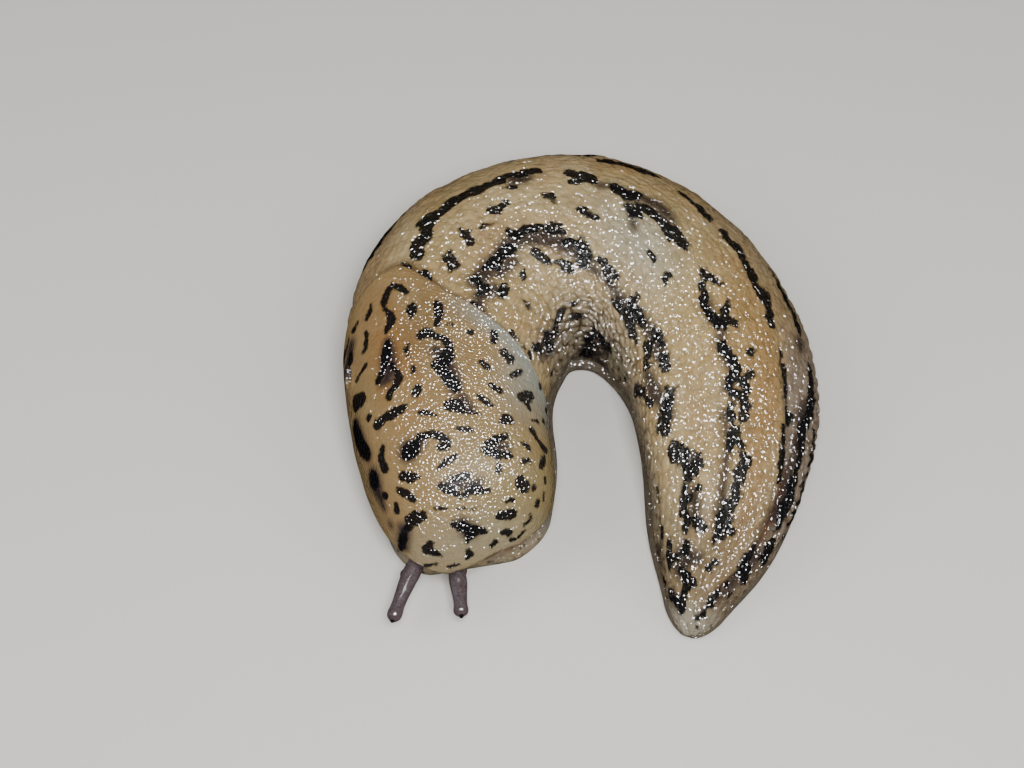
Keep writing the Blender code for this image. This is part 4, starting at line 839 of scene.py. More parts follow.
points, quads, triangles = closed_tube(ring, ring[0].mean(0), ring[-1].mean(0))
skin = add_piece("skin", points, quads, triangles, tube_map(len(ring_u), POINTS_AROUND), {
    "tint": whole(tint, foot_tint_and_shade),
    "dome": whole(dome * bare + SMOOTH_DOME * (1 - bare), SMOOTH_DOME),
    "bead": whole(bead_number * bare, 0.0),
    "flank": whole(flank, FOOT_FLANK),
    "ink": whole(ink, MARK_REACH),
    "smoke": whole(smoke, 0.0),
    "flange": whole(1 - smooth(12, 18, L), 1 - smooth(12, 18, ring_length)[:, None]),
})
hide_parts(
    "head", "neck", "torso_shoulder", "torso_front", "torso_bend", "torso_middle", "torso_rear",
    "tail", "foot_front", "foot_shoulder", "foot_bend", "foot_middle", "foot_rear")


def add(tree, kind, links=None, **settings):
    """Adds a node, sets its properties and sockets by name and links the given sockets."""
    node = tree.nodes.new(kind)
    for label, value in settings.items():
        setattr(node, label, value)
    for socket, value in (links or {}).items():
        target = node.inputs[socket]
        if isinstance(value, bpy.types.NodeSocket):
            tree.links.new(value, target)
        elif isinstance(value, str):
            target.default_value = (*linear(value), 1.0)
        else:
            target.default_value = value
    return node


def new_material(name, roughness, coat_roughness, flesh_depth):
    """A wet material: soft flesh that light enters by that depth in mm, under a clear coat of mucus."""
    material = bpy.data.materials.new(name)
    material.use_nodes = True
    tree = material.node_tree
    shader = tree.nodes["Principled BSDF"]
    for socket, value in {
        "Roughness": roughness, "IOR": 1.40, "Specular IOR Level": 0.1,
        "Coat Weight": 1.0, "Coat IOR": 1.65, "Coat Roughness": coat_roughness,
        "Subsurface Weight": 0.25 if flesh_depth else 0.0, "Subsurface Scale": flesh_depth * MM,
        "Subsurface Radius": (1.0, 0.55, 0.30),
    }.items():
        shader.inputs[socket].default_value = value
    place = add(tree, "ShaderNodeTexCoord").outputs["Object"]
    return material, tree, shader, place


def smoked(tree, under, smoke, share, colour):
    """A colour moved towards that of the smoky ground, by a share of the skin's smoke value."""
    amount = add(tree, "ShaderNodeMath", {0: smoke, 1: share}, operation="MULTIPLY")
    mixed = add(tree, "ShaderNodeMix", {0: amount.outputs[0], 6: under, 7: colour}, data_type="RGBA")
    return mixed.outputs[2]


def inked(tree, under, ink, ragged, inside, outside, colour):
    """A colour under black pigment: where the distance to the nearest mark plus a noise is small."""
    edge = add(tree, "ShaderNodeMath", {0: ink, 1: ragged}, operation="ADD")
    mask = add(tree, "ShaderNodeMapRange", {
        "Value": edge.outputs[0], "From Min": inside, "From Max": outside,
        "To Min": 0.97, "To Max": 0.0}, interpolation_type="SMOOTHSTEP")
    mixed = add(tree, "ShaderNodeMix", {0: mask.outputs[0], 6: under, 7: colour}, data_type="RGBA")
    return mixed.outputs[2]


def mucus_drops(tree, place, grain, size, flattest):
    """Depth of small bowls, which an inverted bump turns to drops: squared distance from the middle of
    each cell, more or less by the grain."""
    cells = add(tree, "ShaderNodeTexVoronoi", {"Vector": place, "Scale": 1 / (size * MM)})
    bowl = add(tree, "ShaderNodeMath", {0: cells.outputs["Distance"], 1: 2.0}, operation="POWER")
    uneven = add(tree, "ShaderNodeMapRange", {
        "Value": grain, "From Min": 0.3, "From Max": 0.7, "To Min": flattest, "To Max": 1.55})
    drops = add(tree, "ShaderNodeMath", {0: bowl.outputs[0], 1: uneven.outputs[0]}, operation="MULTIPLY")
    return drops.outputs[0]


# Wet slug skin. Small drops of clear mucus give every bead a few crisp highlights, the grooves between
# the beads are painted darker as shade, most on the flanks, and black marks follow the edges of beads,
# so their outline is knobbly.
GRAIN, FINE_GRAIN, FINE_DEPTH = 0.9, 0.32, 0.04
SPECK_APART, SPECK_INSIDE, SPECK_OUTSIDE = 1.1, 0.14, 0.30
DROP_SIZE, DROP_DEPTH = 0.62, 0.42
skin_material, tree, shader, place = new_material("wet_beaded_skin", 0.50, 0.05, 0.6)
dome_in, bead_in, flank_in, ink_in, smoke_in, flange_in = [
    add(tree, "ShaderNodeAttribute", attribute_name=label).outputs["Fac"]
    for label in ("dome", "bead", "flank", "ink", "smoke", "flange")]
tint_in = add(tree, "ShaderNodeAttribute", attribute_name="tint").outputs["Color"]
grain = add(tree, "ShaderNodeTexNoise", {"Vector": place, "Scale": 1 / (GRAIN * MM), "Detail": 3.0})
fine = add(tree, "ShaderNodeTexNoise", {"Vector": place, "Scale": 1 / (FINE_GRAIN * MM), "Detail": 2.0})
light = add(tree, "ShaderNodeMath", {0: bead_in, 1: 0.10, 2: 0.95}, operation="MULTIPLY_ADD")
grainy = add(tree, "ShaderNodeMapRange", {
    "Value": grain.outputs["Fac"], "From Min": 0.3, "From Max": 0.7, "To Min": 0.90, "To Max": 1.08})
lit = add(tree, "ShaderNodeMath", {0: light.outputs[0], 1: grainy.outputs[0]}, operation="MULTIPLY")
base = add(tree, "ShaderNodeVectorMath", {0: tint_in, "Scale": lit.outputs[0]}, operation="SCALE")
# Painted shade in the grooves between beads, deeper and wider on the flanks.
groove_width = add(tree, "ShaderNodeMath", {0: flank_in, 1: 0.30, 2: 0.50}, operation="MULTIPLY_ADD")
groove = add(tree, "ShaderNodeMapRange", {
    "Value": dome_in, "From Min": 0.0, "From Max": groove_width.outputs[0],
    "To Min": 1.0, "To Max": 0.0}, interpolation_type="SMOOTHSTEP")
groove_share = add(tree, "ShaderNodeMath", {0: flank_in, 1: 0.66, 2: 0.28}, operation="MULTIPLY_ADD")
groove_shade = add(tree, "ShaderNodeMath", {
    0: groove.outputs[0], 1: groove_share.outputs[0]}, operation="MULTIPLY")
groove_shaded = add(tree, "ShaderNodeMix", {
    0: groove_shade.outputs[0], 6: base.outputs[0], 7: "#3E2C1A"}, data_type="RGBA")
smoky = smoked(tree, groove_shaded.outputs[2], smoke_in, 0.95, "#342A25")
speck = add(tree, "ShaderNodeTexVoronoi", {"Vector": place, "Scale": 1 / (SPECK_APART * MM)})
speck_mask = add(tree, "ShaderNodeMapRange", {
    "Value": speck.outputs["Distance"], "From Min": SPECK_INSIDE, "From Max": SPECK_OUTSIDE,
    "To Min": 0.75, "To Max": 0.0})
speck_share = add(tree, "ShaderNodeMath", {0: speck_mask.outputs[0], 1: flange_in}, operation="MULTIPLY")
specked = add(tree, "ShaderNodeMix", {0: speck_share.outputs[0], 6: smoky, 7: "#2A2622"}, data_type="RGBA")
ragged = add(tree, "ShaderNodeMath", {0: fine.outputs["Fac"], 1: 0.30, 2: -0.15}, operation="MULTIPLY_ADD")
black = inked(tree, specked.outputs[2], ink_in, ragged.outputs[0], -0.04, 0.20, "#0C0C0E")
tree.links.new(black, shader.inputs["Base Color"])
bump = add(tree, "ShaderNodeBump", {
    "Height": fine.outputs["Fac"], "Distance": FINE_DEPTH * MM})
tree.links.new(bump.outputs[0], shader.inputs["Normal"])
drops = mucus_drops(tree, place, grain.outputs["Fac"], DROP_SIZE, 0.35)
mucus_bump = add(tree, "ShaderNodeBump", {
    "Height": drops, "Distance": DROP_DEPTH * MM}, invert=True)
tree.links.new(mucus_bump.outputs[0], shader.inputs["Coat Normal"])
skin.data.materials.append(skin_material)


# The mantle: a smooth oval shield over the front third, with a rounded free rim and, low on the
# right, the breathing hole. Its skin has fine ridges that run round it like a fingerprint.
MANTLE_AROUND, MANTLE_RINGS, MANTLE_UNDER, RING_POWER = 480, 150, 10, 0.9
RIM_FROM, RIM_DROP, UNDER_SEATED, UNDER_FREE = 0.955, 0.9, 0.72, 0.95
HOLE_LENGTH_AT, HOLE_V, HOLE_LONG, HOLE_WIDE, HOLE_DEEP = 20.5, -0.60, 1.3, 0.8, 1.0
HOLE_LIP, HOLE_LIP_AT, HOLE_LIP_WIDTH = 0.15, 1.25, 0.35
MANTLE_SWELL, MANTLE_SWELL_SIZE, MANTLE_RIPPLE, MANTLE_RIPPLE_SIZE = 0.12, 4.5, 0.06, 2.0
turn = np.arange(MANTLE_AROUND) * 2 * np.pi / MANTLE_AROUND
round_v = np.sign(np.sin(turn)) * np.abs(np.sin(turn)) ** (2 / MANTLE_POWER)
round_u = -np.sign(np.cos(turn)) * np.abs(np.cos(turn)) ** (2 / MANTLE_POWER)


def mantle_place(ratio):
    """u and v on oval rings of the mantle, each a share of the way from its middle to its rim."""
    v = MANTLE_SIDE * ratio[:, None] * round_v[None, :]
    reach = mantle_reach(v, (round_u < 0)[None, :])
    return path_at(MANTLE_MIDDLE) + reach * ratio[:, None] * round_u[None, :], v


top_ratio = np.linspace(0, 1, MANTLE_RINGS + 1)[1:] ** RING_POWER
under_ratio = np.linspace(1, 0, MANTLE_UNDER + 1)[1:-1]
top_u, top_v = mantle_place(top_ratio)
under_u, under_v = mantle_place(under_ratio)
top_normal = outward(top_u, top_v)
base_points = body(top_u, top_v)
rim = np.clip((top_ratio - RIM_FROM) / (1 - RIM_FROM), 0, 1)[:, None]
height = GAP + (MANTLE_PROUD - GAP) * np.sqrt(1 - RIM_DROP * rim ** 2)
swell = MANTLE_SWELL * lumps(base_points, MANTLE_SWELL_SIZE, 21)
swell = (swell + MANTLE_RIPPLE * lumps(base_points, MANTLE_RIPPLE_SIZE, 22)) * (1 - rim)
hole_at = body(path_at(HOLE_LENGTH_AT), HOLE_V)
hole_way = body(path_at(HOLE_LENGTH_AT) + 0.05, HOLE_V) - body(path_at(HOLE_LENGTH_AT) - 0.05, HOLE_V)
hole_way /= np.linalg.norm(hole_way)
hole_gap = base_points - hole_at
hole_along = hole_gap @ hole_way
hole_side = np.linalg.norm(hole_gap - hole_along[..., None] * hole_way, axis=-1)
hole = np.hypot(hole_along / HOLE_LONG, hole_side / HOLE_WIDE)
hole_relief = HOLE_LIP * bell(hole - HOLE_LIP_AT, HOLE_LIP_WIDTH)
hole_relief -= HOLE_DEEP * np.sqrt(np.clip(1 - hole ** 2, 0, 1))
top = base_points + top_normal * (height + swell + hole_relief)[..., None]
under_height = GAP - MANTLE_SEAT * (1 - smooth(UNDER_SEATED, UNDER_FREE, under_ratio))
under = body(under_u, under_v) + outward(under_u, under_v) * under_height[:, None, None]
mantle_ring = np.concatenate([top, under])
middle_u = path_at(MANTLE_MIDDLE)
pole = body(middle_u, 0.0)
pole_normal = outward(middle_u, 0.0)
pole_height = MANTLE_PROUD + swell[0].mean()

# Black marks and smoky ground of the mantle, read off the photo like those of the body.
MANTLE_MARKS = dict(
    hook=[(406, 291.5, 2.6), (401, 288, 3.2), (392, 285, 3.2), (387, 292, 3), (384, 300, 3.6),
        (383, 306, 2.6), (387, 311, 2.2), (391, 317, 4), (391, 322, 5), (388, 327, 3.6), (386, 333, 1.2)],
    upper_spot=[(411.5, 306, 4.2), (411.5, 311, 4.8), (411, 316, 3)],
    rear_blob=[(437, 304, 4.2), (439.5, 313, 4.6), (437, 323, 3.4)],
    rear_dot=[(450.5, 324, 2.8)],
    bow=[(421, 336, 3.6), (427, 331.5, 5), (434, 336, 3.6), (443.5, 338.5, 3.6), (449.8, 344, 3.8),
        (449, 352, 5.5), (442, 359.5, 4.2), (435, 364, 4)],
    bow_low=[(435, 365, 3.6), (444, 373, 5.2), (450.5, 381.5, 6.4), (457, 388, 4)],
    bow_side=[(449, 353, 6), (446.5, 360, 5), (441, 368, 3)],
    streak_1=[(371, 304, 1.4), (369, 313.5, 2.6), (367, 320, 1.6)],
    streak_2=[(366, 333, 2.2), (366.8, 340, 2.6), (365, 350, 2.4), (363.5, 353, 1.6)],
    streak_3=[(366, 366, 2.2), (362.5, 371.5, 1.6), (356.8, 381, 1.4)],
    edge_1=[(357.5, 323, 1.6), (354, 331, 2.2)],
    edge_2=[(351.5, 354.5, 2.4), (351, 364, 2.6)],
    edge_3=[(349, 339, 1.4), (345.5, 353, 2.4), (343, 367, 2.6)],
    edge_4=[(345, 376, 2.4), (342.5, 391, 2.2)],
    dark_1=[(388, 341, 1.6), (387, 349, 4.2), (385.5, 358, 4.8), (384, 368, 3.2), (381, 375.5, 4),
        (378.5, 381, 3)],
    dark_2=[(392, 365, 2.4), (397, 372, 3), (398.5, 377, 4), (396, 385, 3.6), (391, 391, 3.4),
        (389, 397, 3)],
    crescent=[(408, 344.5, 1.8), (406.5, 350, 2.4), (409, 356.5, 1.8)],
    dot_1=[(413, 367.5, 2.8), (412.6, 372, 2)],
    hooked=[(421, 385.5, 1.2), (418, 388, 3.4), (416.5, 391, 5), (416.5, 394, 3.4)],
    angular=[(355.8, 403.5, 5), (362, 399.5, 5)],
    dot_2=[(369.5, 417.8, 2.9)],
    diagonal=[(377.5, 425, 4.4), (386, 417.5, 4.2), (394, 413, 5.2), (404, 408.5, 3.4)],
    dash_1=[(420.5, 413, 2.6), (427, 412.5, 2.8), (436, 415.5, 0.9)],
    long_smoky=[(354.4, 427.5, 4.6), (356.6, 436, 6), (360.8, 446.5, 5.8), (366.6, 453.5, 4.6)],
    comma=[(382.5, 446.5, 2), (381, 457, 3.6), (384.5, 468, 4)],
    round_1=[(408, 452, 7.4), (411.5, 449, 8)],
    arch=[(419.5, 437, 3.4), (428, 433.8, 3.8), (438.5, 435, 4.2), (446, 439.5, 4.6), (446, 446, 4.4),
        (438, 447, 2.8)],
    leaf=[(440, 467, 2), (447, 461, 3.8), (455, 455.5, 2.6)],
    smoky_round=[(373.8, 480, 6.2)],
    pointed=[(402, 476.5, 4.4), (409, 477, 5.4), (416, 476.6, 2.6), (421, 476, 0.8)],
    dark_band=[(400, 490.5, 4.2), (407, 494.5, 4), (412.8, 498.8, 3.8)],
    dot_3=[(384.8, 496, 3.3)],
    dot_4=[(395.8, 505, 2.2), (396.3, 510, 3)],
    tiny_line=[(435, 508.4, 0.9), (440, 508.2, 1.3), (446, 508.6, 0.9)],
    big_front=[(409.5, 521, 5.6), (415.5, 518, 6.8), (422, 515.8, 5)],
    big_front_tail=[(409, 526, 3.6), (405, 532, 3), (402.5, 540, 3.8), (400, 547.5, 3)],
    triangle_1=[(430.8, 543.5, 2.6), (428, 549.5, 5.6), (425, 552.5, 3)],
    triangle_1_side=[(428, 551, 4.4), (436, 553, 3.4), (442, 556, 1.2)],
    front_dash_1=[(401, 559, 1.4), (404, 561, 2), (407.4, 562.6, 1.2)],
    front_dash_2=[(425.5, 566.4, 1.4), (431, 565.4, 2), (437, 563.4, 1.3)],
    front_dash_3=[(448, 567.4, 1.4), (453.5, 566, 2.2), (459, 564.6, 1.2)],
    front_dash_4=[(411.5, 567, 1.6), (418, 569, 1.6)],
    triangle_2=[(467.3, 549.5, 1.4), (469, 554, 3.8), (466.8, 558.5, 1.8)],
    big_diag=[(454, 524, 3.4), (461, 526, 5), (470, 531.5, 5.6), (480, 530.4, 4.8), (486.8, 531.8, 1.6)],
    big_diag_low=[(470, 535, 4), (467.6, 541.6, 2.2)],
    thin=[(456, 508.2, 1), (463, 508.4, 2), (469, 509, 1.4), (474, 509.6, 2)],
    cluster_1=[(454.5, 478.4, 3.2), (461, 477.4, 4.6), (468, 474.6, 3.2)],
    cluster_2=[(440.5, 487, 4), (446, 488.6, 4.8), (453, 492, 3.4), (461, 496, 2.6)],
    cluster_3=[(461, 497, 2), (468, 492.4, 4.2), (475.5, 488.6, 4.6), (482, 491, 3), (489.6, 490.2, 3)],
    dash_2=[(457.5, 428.5, 2.2), (464, 429.2, 3.2), (471, 429.6, 2)],
    wedge=[(450, 404.5, 5.8), (457, 405, 5.6), (463, 409.5, 3)],
    wedge_tail=[(452, 409, 3), (463, 411, 2.6), (474, 412.6, 1.6), (481, 413.6, 0.8)],
    capital=[(502, 421, 2.6), (507, 418.6, 4.8), (510.5, 420.8, 3.2)],
    c_top=[(507, 434.4, 2), (504.5, 436.4, 3.4), (497, 438.6, 4), (490, 443.5, 5)],
    c_low=[(483.5, 449.5, 3.2), (489.5, 451.5, 5), (498.5, 455.6, 4.6), (508.5, 454.8, 3.4)],
    under_c=[(498.4, 466, 2.4), (498.3, 470.5, 3.4)],
    spot_1=[(481.5, 362.3, 3), (486.5, 366.2, 4)],
    spot_2=[(494, 332.5, 3.6), (493.8, 339.5, 4)],
    spot_3=[(504.8, 352.8, 5), (509.8, 359, 5)],
    spot_4=[(511.8, 376, 2.2), (516, 373.4, 3.4), (521.5, 370.8, 1.6)],
    spot_5=[(490.6, 384.8, 2.4), (494, 387.8, 3), (500.5, 391.4, 2.8)],
    spot_6=[(480, 396.4, 3), (485.5, 401, 3.2), (492.5, 405, 2)],
    spot_7=[(519.5, 396.4, 2.6), (526, 396.6, 5.4), (531.5, 395.6, 3)],
    spot_7_tail=[(526.5, 400, 3.6), (528.4, 406, 2.6), (530.4, 409.6, 1.6)],
    spot_8=[(470.5, 331.8, 2.8)],
    rim_1=[(541.3, 383, 2), (540.6, 387.5, 2)],
    rim_2=[(546.5, 410.6, 2.3)],
    rim_3=[(543.2, 421.9, 2)],
    rim_4=[(549.6, 422.7, 1.4), (548.8, 428.3, 1.4)],
    rim_5=[(532.5, 419.6, 0.9), (537, 421.2, 1.6)],
    rim_curve=[(531.8, 430, 3), (535.4, 434.6, 2.2), (538, 440.4, 2.4), (542.6, 446.6, 2.4),
        (546, 450.6, 2)],
    rim_drop=[(522, 442.4, 0.8), (525.5, 445, 2.8), (528.3, 447.4, 3)],
    rim_6=[(545, 458, 1.8), (544, 461.5, 3), (542, 465.5, 2.8)],
    rim_bird=[(518.2, 463.2, 1), (522.5, 462, 1.6), (527.5, 460, 3), (530.6, 461.6, 2.2)],
    rim_big=[(521, 482.5, 6.2), (524, 487, 6.2)],
    rim_7=[(534.1, 488.1, 2.8)],
    rim_8=[(545.4, 477.5, 1.4), (545.8, 482.5, 1.5)],
    rim_9=[(507.2, 502.4, 1.2), (511.5, 499.4, 2.4), (514.8, 502, 1.2)],
    rim_10=[(537.4, 502.4, 2.6), (537, 505.4, 2.6)],
    rim_11=[(544, 492.4, 1.2), (543.6, 500, 1.2)],
    rim_12=[(501.5, 515.6, 4.6), (506, 515.4, 4.4), (512.5, 513.4, 4.8)],
    rim_13=[(504.5, 531.8, 3.2), (508.4, 532.8, 3.4)],
    rim_14=[(530.1, 514.3, 1), (531.4, 517.8, 1.6), (529.5, 521.3, 2), (524.6, 525, 2)],
    rim_15=[(523, 532.6, 1.8), (519.6, 536.4, 1.8)],
    rim_16=[(495.3, 541.9, 2.6), (491.8, 545.4, 2.8)],
    rim_17=[(511.4, 540.6, 1.6), (514.6, 539.2, 1.2)],
    rim_18=[(546.6, 397, 1), (547.4, 401, 1)],
)
MANTLE_SMOKE = dict(
    halo=[(388, 343, 4), (388, 354, 7), (389, 366, 7.4), (388, 378, 6), (383, 382, 4)],
    bow_halo=[(436, 350, 5), (446, 362, 6), (452, 376, 7), (456, 388, 6)],
    wedge_halo=[(462, 398, 5), (470, 408, 4)],
    long_halo=[(356, 428, 5.5), (362, 447, 6), (368, 455, 4)],
    cluster_halo=[(452, 484, 6), (465, 486, 5), (478, 483, 5)],
    c_halo=[(497, 447, 5.5), (506, 446, 4)],
    front_halo=[(404, 530, 6), (402, 545, 5)],
    round_halo=[(408, 451, 9.5), (420, 442, 5)],
    edge_halo=[(352, 345, 3.5), (349, 362, 4), (345, 378, 4), (343, 392, 3.6)],
    diag_halo=[(470, 532, 7.5), (462, 522, 5)],
    low_left=[(374, 480, 7.5), (383, 506, 3)],
    edge_low=[(390.6, 525, 2.2)],
)
surface_points = base_points + top_normal * MANTLE_PROUD
mantle_marks = laid_on(MANTLE_MARKS, surface_points, top_normal)
mantle_ground = laid_on(MANTLE_SMOKE, surface_points, top_normal)
mantle_smoke = 1 - smooth(-0.6, 0.8, depth_in(surface_points, mantle_ground))

# Spots on the side that the photo doesn't show, like those that it shows.
MANTLE_SPOT_SIZE, MANTLE_SPOT_LEVEL = 2.3, 0.40
mantle_unseen = smooth(0.0, 0.2, -facing_camera(surface_points, top_normal)[1])
mantle_spots = SPOT_SLOPE * (MANTLE_SPOT_LEVEL - lumps(surface_points, MANTLE_SPOT_SIZE, 53))
mantle_ink = np.minimum(depth_in(surface_points, mantle_marks), mantle_spots + OFF * (1 - mantle_unseen))

# Colour of the mantle before its marks: tan, orange-brown along its right shoulder, grey towards its
# left and its rear rim, paler in front. Its right side is darkened as painted shade, and the breathing
# hole is painted dark as shade.
RIDGE_RADIUS = 15.0
ridge = np.repeat(top_ratio[:, None], MANTLE_AROUND, axis=1) * RIDGE_RADIUS
top_length = length_of(top_u)
rear_rim = smooth(0.70, 0.92, top_ratio)[:, None] * smooth(-0.06, 0.12, top_v) * smooth(12, 18, top_length)
mantle_patches = dict(
    orange_shoulder=("#84592A", 0.6 * bell(top_length - 20, 7) * bell(top_v + 0.26, 0.16)),
    # painted shade down the mantle's right side
    right_side_shade=("#7E6848", 0.6 * bell(top_v + 0.7, 0.25)),
    brown_middle=("#6E5A3C", 0.6 * bell(top_length - 23, 5) * bell(top_v + 0.08, 0.13)),
    grey_left=("#8B8C80", 0.9 * smooth(0.10, 0.42, top_v) * smooth(9, 17, top_length)),
    yellow_front=("#857852", 0.7 * smooth(-0.3, 0.3, top_v) * (1 - smooth(6, 14, top_length))),
    pale_front=("#8F8872", 0.6 * (1 - smooth(1.5, 5.0, top_length))),
    pale_lumps=("#94805A", 0.4 * smooth(0.0, 0.7, lumps(base_points, 3.0, 42))),
    grey_rim=("#868A82", 0.75 * rear_rim),
    # painted shade inside the breathing hole
    hole=("#3A2A20", 1 - smooth(0.6, 1.0, hole)),
    rim=("#86704F", 0.5 * rim * np.ones_like(top_v)),
)
mantle_tint = tinted("#8E7650", mantle_patches, base_points.shape)


def mantle_whole(top_value, under_value):
    """A value for every point of the mantle: its upper side, its underside and the two poles."""
    under_side = np.broadcast_to(np.asarray(under_value, float), under.shape[:2] + top_value.shape[2:])
    rows = np.concatenate([top_value, under_side]).reshape((-1,) + top_value.shape[2:])
    return np.concatenate([rows, rows[:1], rows[-1:]])


points, quads, triangles = closed_tube(
    mantle_ring, pole + pole_normal * pole_height, pole + pole_normal * (GAP - MANTLE_SEAT))
mantle = add_piece("mantle_shield", points, quads, triangles, tube_map(len(mantle_ring), MANTLE_AROUND), {
    "tint": mantle_whole(mantle_tint, linear("#86704F")),
    "ink": mantle_whole(mantle_ink, MARK_REACH),
    "smoke": mantle_whole(mantle_smoke, 0.0),
    "ridge": mantle_whole(ridge, RIDGE_RADIUS),
})
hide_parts("mantle")

# Mantle skin: smooth and wet, with ridges 0.4 mm apart and small drops of mucus that break each
# highlight into dots. Its marks have soft ragged edges, since it has no beads to stop them.
RIDGE_APART, RIDGE_WANDER, RIDGE_DEPTH, MANTLE_FINE = 0.40, 1.6, 0.02, 0.34
MANTLE_DROP, MANTLE_DROP_DEPTH = 0.38, 0.20
mantle_material, tree, shader, place = new_material("wet_ridged_mantle", 0.50, 0.05, 0.6)
ink_in, smoke_in, ridge_in = [
    add(tree, "ShaderNodeAttribute", attribute_name=label).outputs["Fac"]
    for label in ("ink", "smoke", "ridge")]
tint_in = add(tree, "ShaderNodeAttribute", attribute_name="tint").outputs["Color"]
grain = add(tree, "ShaderNodeTexNoise", {"Vector": place, "Scale": 1 / (GRAIN * MM), "Detail": 3.0})
fine = add(tree, "ShaderNodeTexNoise", {"Vector": place, "Scale": 1 / (MANTLE_FINE * MM), "Detail": 1.0})
warp = add(tree, "ShaderNodeTexNoise", {"Vector": place, "Scale": 1 / (3.0 * MM), "Detail": 1.0})
phase = add(tree, "ShaderNodeMath", {
    0: warp.outputs["Fac"], 1: RIDGE_WANDER, 2: ridge_in}, operation="MULTIPLY_ADD")
turns = add(tree, "ShaderNodeMath", {0: phase.outputs[0], 1: 2 * np.pi / RIDGE_APART}, operation="MULTIPLY")
ridges = add(tree, "ShaderNodeMath", {0: turns.outputs[0]}, operation="SINE")
ridged = add(tree, "ShaderNodeMath", {
    0: ridges.outputs[0], 1: 0.30, 2: fine.outputs["Fac"]}, operation="MULTIPLY_ADD")
grainy = add(tree, "ShaderNodeMapRange", {
    "Value": grain.outputs["Fac"], "From Min": 0.3, "From Max": 0.7, "To Min": 0.92, "To Max": 1.06})
base = add(tree, "ShaderNodeVectorMath", {0: tint_in, "Scale": grainy.outputs[0]}, operation="SCALE")
smoky = smoked(tree, base.outputs[0], smoke_in, 0.94, "#292125")
coarse = add(tree, "ShaderNodeMath", {0: grain.outputs["Fac"], 1: 0.60, 2: -0.50}, operation="MULTIPLY_ADD")
ragged = add(tree, "ShaderNodeMath", {
    0: fine.outputs["Fac"], 1: 0.40, 2: coarse.outputs[0]}, operation="MULTIPLY_ADD")
black = inked(tree, smoky, ink_in, ragged.outputs[0], -0.12, 0.16, "#0E0D10")
tree.links.new(black, shader.inputs["Base Color"])
bump = add(tree, "ShaderNodeBump", {
    "Height": ridged.outputs[0], "Distance": RIDGE_DEPTH * MM})
tree.links.new(bump.outputs[0], shader.inputs["Normal"])
drops = mucus_drops(tree, place, grain.outputs["Fac"], MANTLE_DROP, 0.45)
mucus_height = add(tree, "ShaderNodeMath", {
    0: ridges.outputs[0], 1: -0.03, 2: drops}, operation="MULTIPLY_ADD")
mucus_bump = add(tree, "ShaderNodeBump", {
    "Height": mucus_height.outputs[0], "Distance": MANTLE_DROP_DEPTH * MM}, invert=True)
tree.links.new(mucus_bump.outputs[0], shader.inputs["Coat Normal"])
mantle.data.materials.append(mantle_material)


# The stalks: two upper ones with the eyes and two short lower ones, smooth grey flesh that light
# shines into. Each is a round profile carried along a curve from the face.
EYE_SEAT = 0.33
# Profiles: share of the way to the tip, radius in mm. The upper ones end in a seat for the eye.
UPPER_PROFILE = (
    (0.0, 0.86), (0.12, 0.90), (0.26, 0.95), (0.42, 0.90), (0.58, 0.79), (0.72, 0.72),
    (0.80, 0.73), (0.86, 0.78), (0.915, 0.79), (0.955, 0.70), (0.985, 0.50), (1.0, EYE_SEAT), (0.965, 0.24))
LOWER_PROFILE = ((0.0, 0.46), (0.3, 0.45), (0.6, 0.43), (0.8, 0.45), (0.93, 0.35), (1.0, 0.16))
# Name, root's distance to the left of the face's middle, root's height, how far the stalk first runs
# straight out and sags, its tip, its profile.
STALKS = (
    ("upper_tentacle_right", -1.55, 4.2, 2.0, 0.2, (-19.5, -26.7, 3.7), UPPER_PROFILE),
    ("upper_tentacle_left", 1.5, 3.5, 1.6, 0.2, (-12.3, -26.1, 3.7), UPPER_PROFILE),
    ("lower_tentacle_right", -3.3, 2.15, 0.4, 0.0, (-18.9, -20.4, 1.6), LOWER_PROFILE),
    ("lower_tentacle_left", 2.3, 2.0, 0.4, 0.0, (-12.9, -21.0, 1.5), LOWER_PROFILE),
)
STALK_AROUND, STALK_RINGS, CURVE_STEPS = 48, 90, 200
ROOT_OUT, ROOT_SUNK, ROOT_SHARE = 0.42, 0.7, 0.12
FACE_GRID_U, FACE_GRID_V = (0.2, 7.0, 137), (-0.98, 0.98, 197)


def on_face(across, level):
    """u and v of the face's point nearest to a distance to the left and a height."""
    u, v = np.meshgrid(np.linspace(*FACE_GRID_U), np.linspace(*FACE_GRID_V), indexing="ij")
    points = core(u, v)
    nearest = np.argmin(np.hypot(face_across(points) - across, points[..., 2] - level))
    return u.flat[nearest], v.flat[nearest]


def along_curve(start, bend, end, t):
    """Points and directions of a curve from start to end, drawn towards bend: two blended lines."""
    t = np.asarray(t, float)[:, None]
    point = (1 - t) ** 2 * start + 2 * t * (1 - t) * bend + t ** 2 * end
    way = 2 * (1 - t) * (bend - start) + 2 * t * (end - bend)
    return point, way / np.linalg.norm(way, axis=1, keepdims=True)


# Stalk skin: lilac-grey and half clear, with grains of pigment and a wet shine.
STALK_GRAIN, STALK_GRAIN_DEPTH = 0.24, 0.03
stalk_material, tree, shader, place = new_material("wet_stalk_skin", 0.34, 0.08, 1.2)
shader.inputs["Subsurface Weight"].default_value = 0.5
grain = add(tree, "ShaderNodeTexNoise", {"Vector": place, "Scale": 1 / (STALK_GRAIN * MM), "Detail": 3.0})
grains = add(tree, "ShaderNodeMapRange", {
    "Value": grain.outputs["Fac"], "From Min": 0.30, "From Max": 0.70})
stalk_colour = add(tree, "ShaderNodeMix", {
    0: grains.outputs[0], 6: "#3B3236", 7: "#605558"}, data_type="RGBA")
tree.links.new(stalk_colour.outputs[2], shader.inputs["Base Color"])
bump = add(tree, "ShaderNodeBump", {
    "Height": grain.outputs["Fac"], "Distance": STALK_GRAIN_DEPTH * MM})
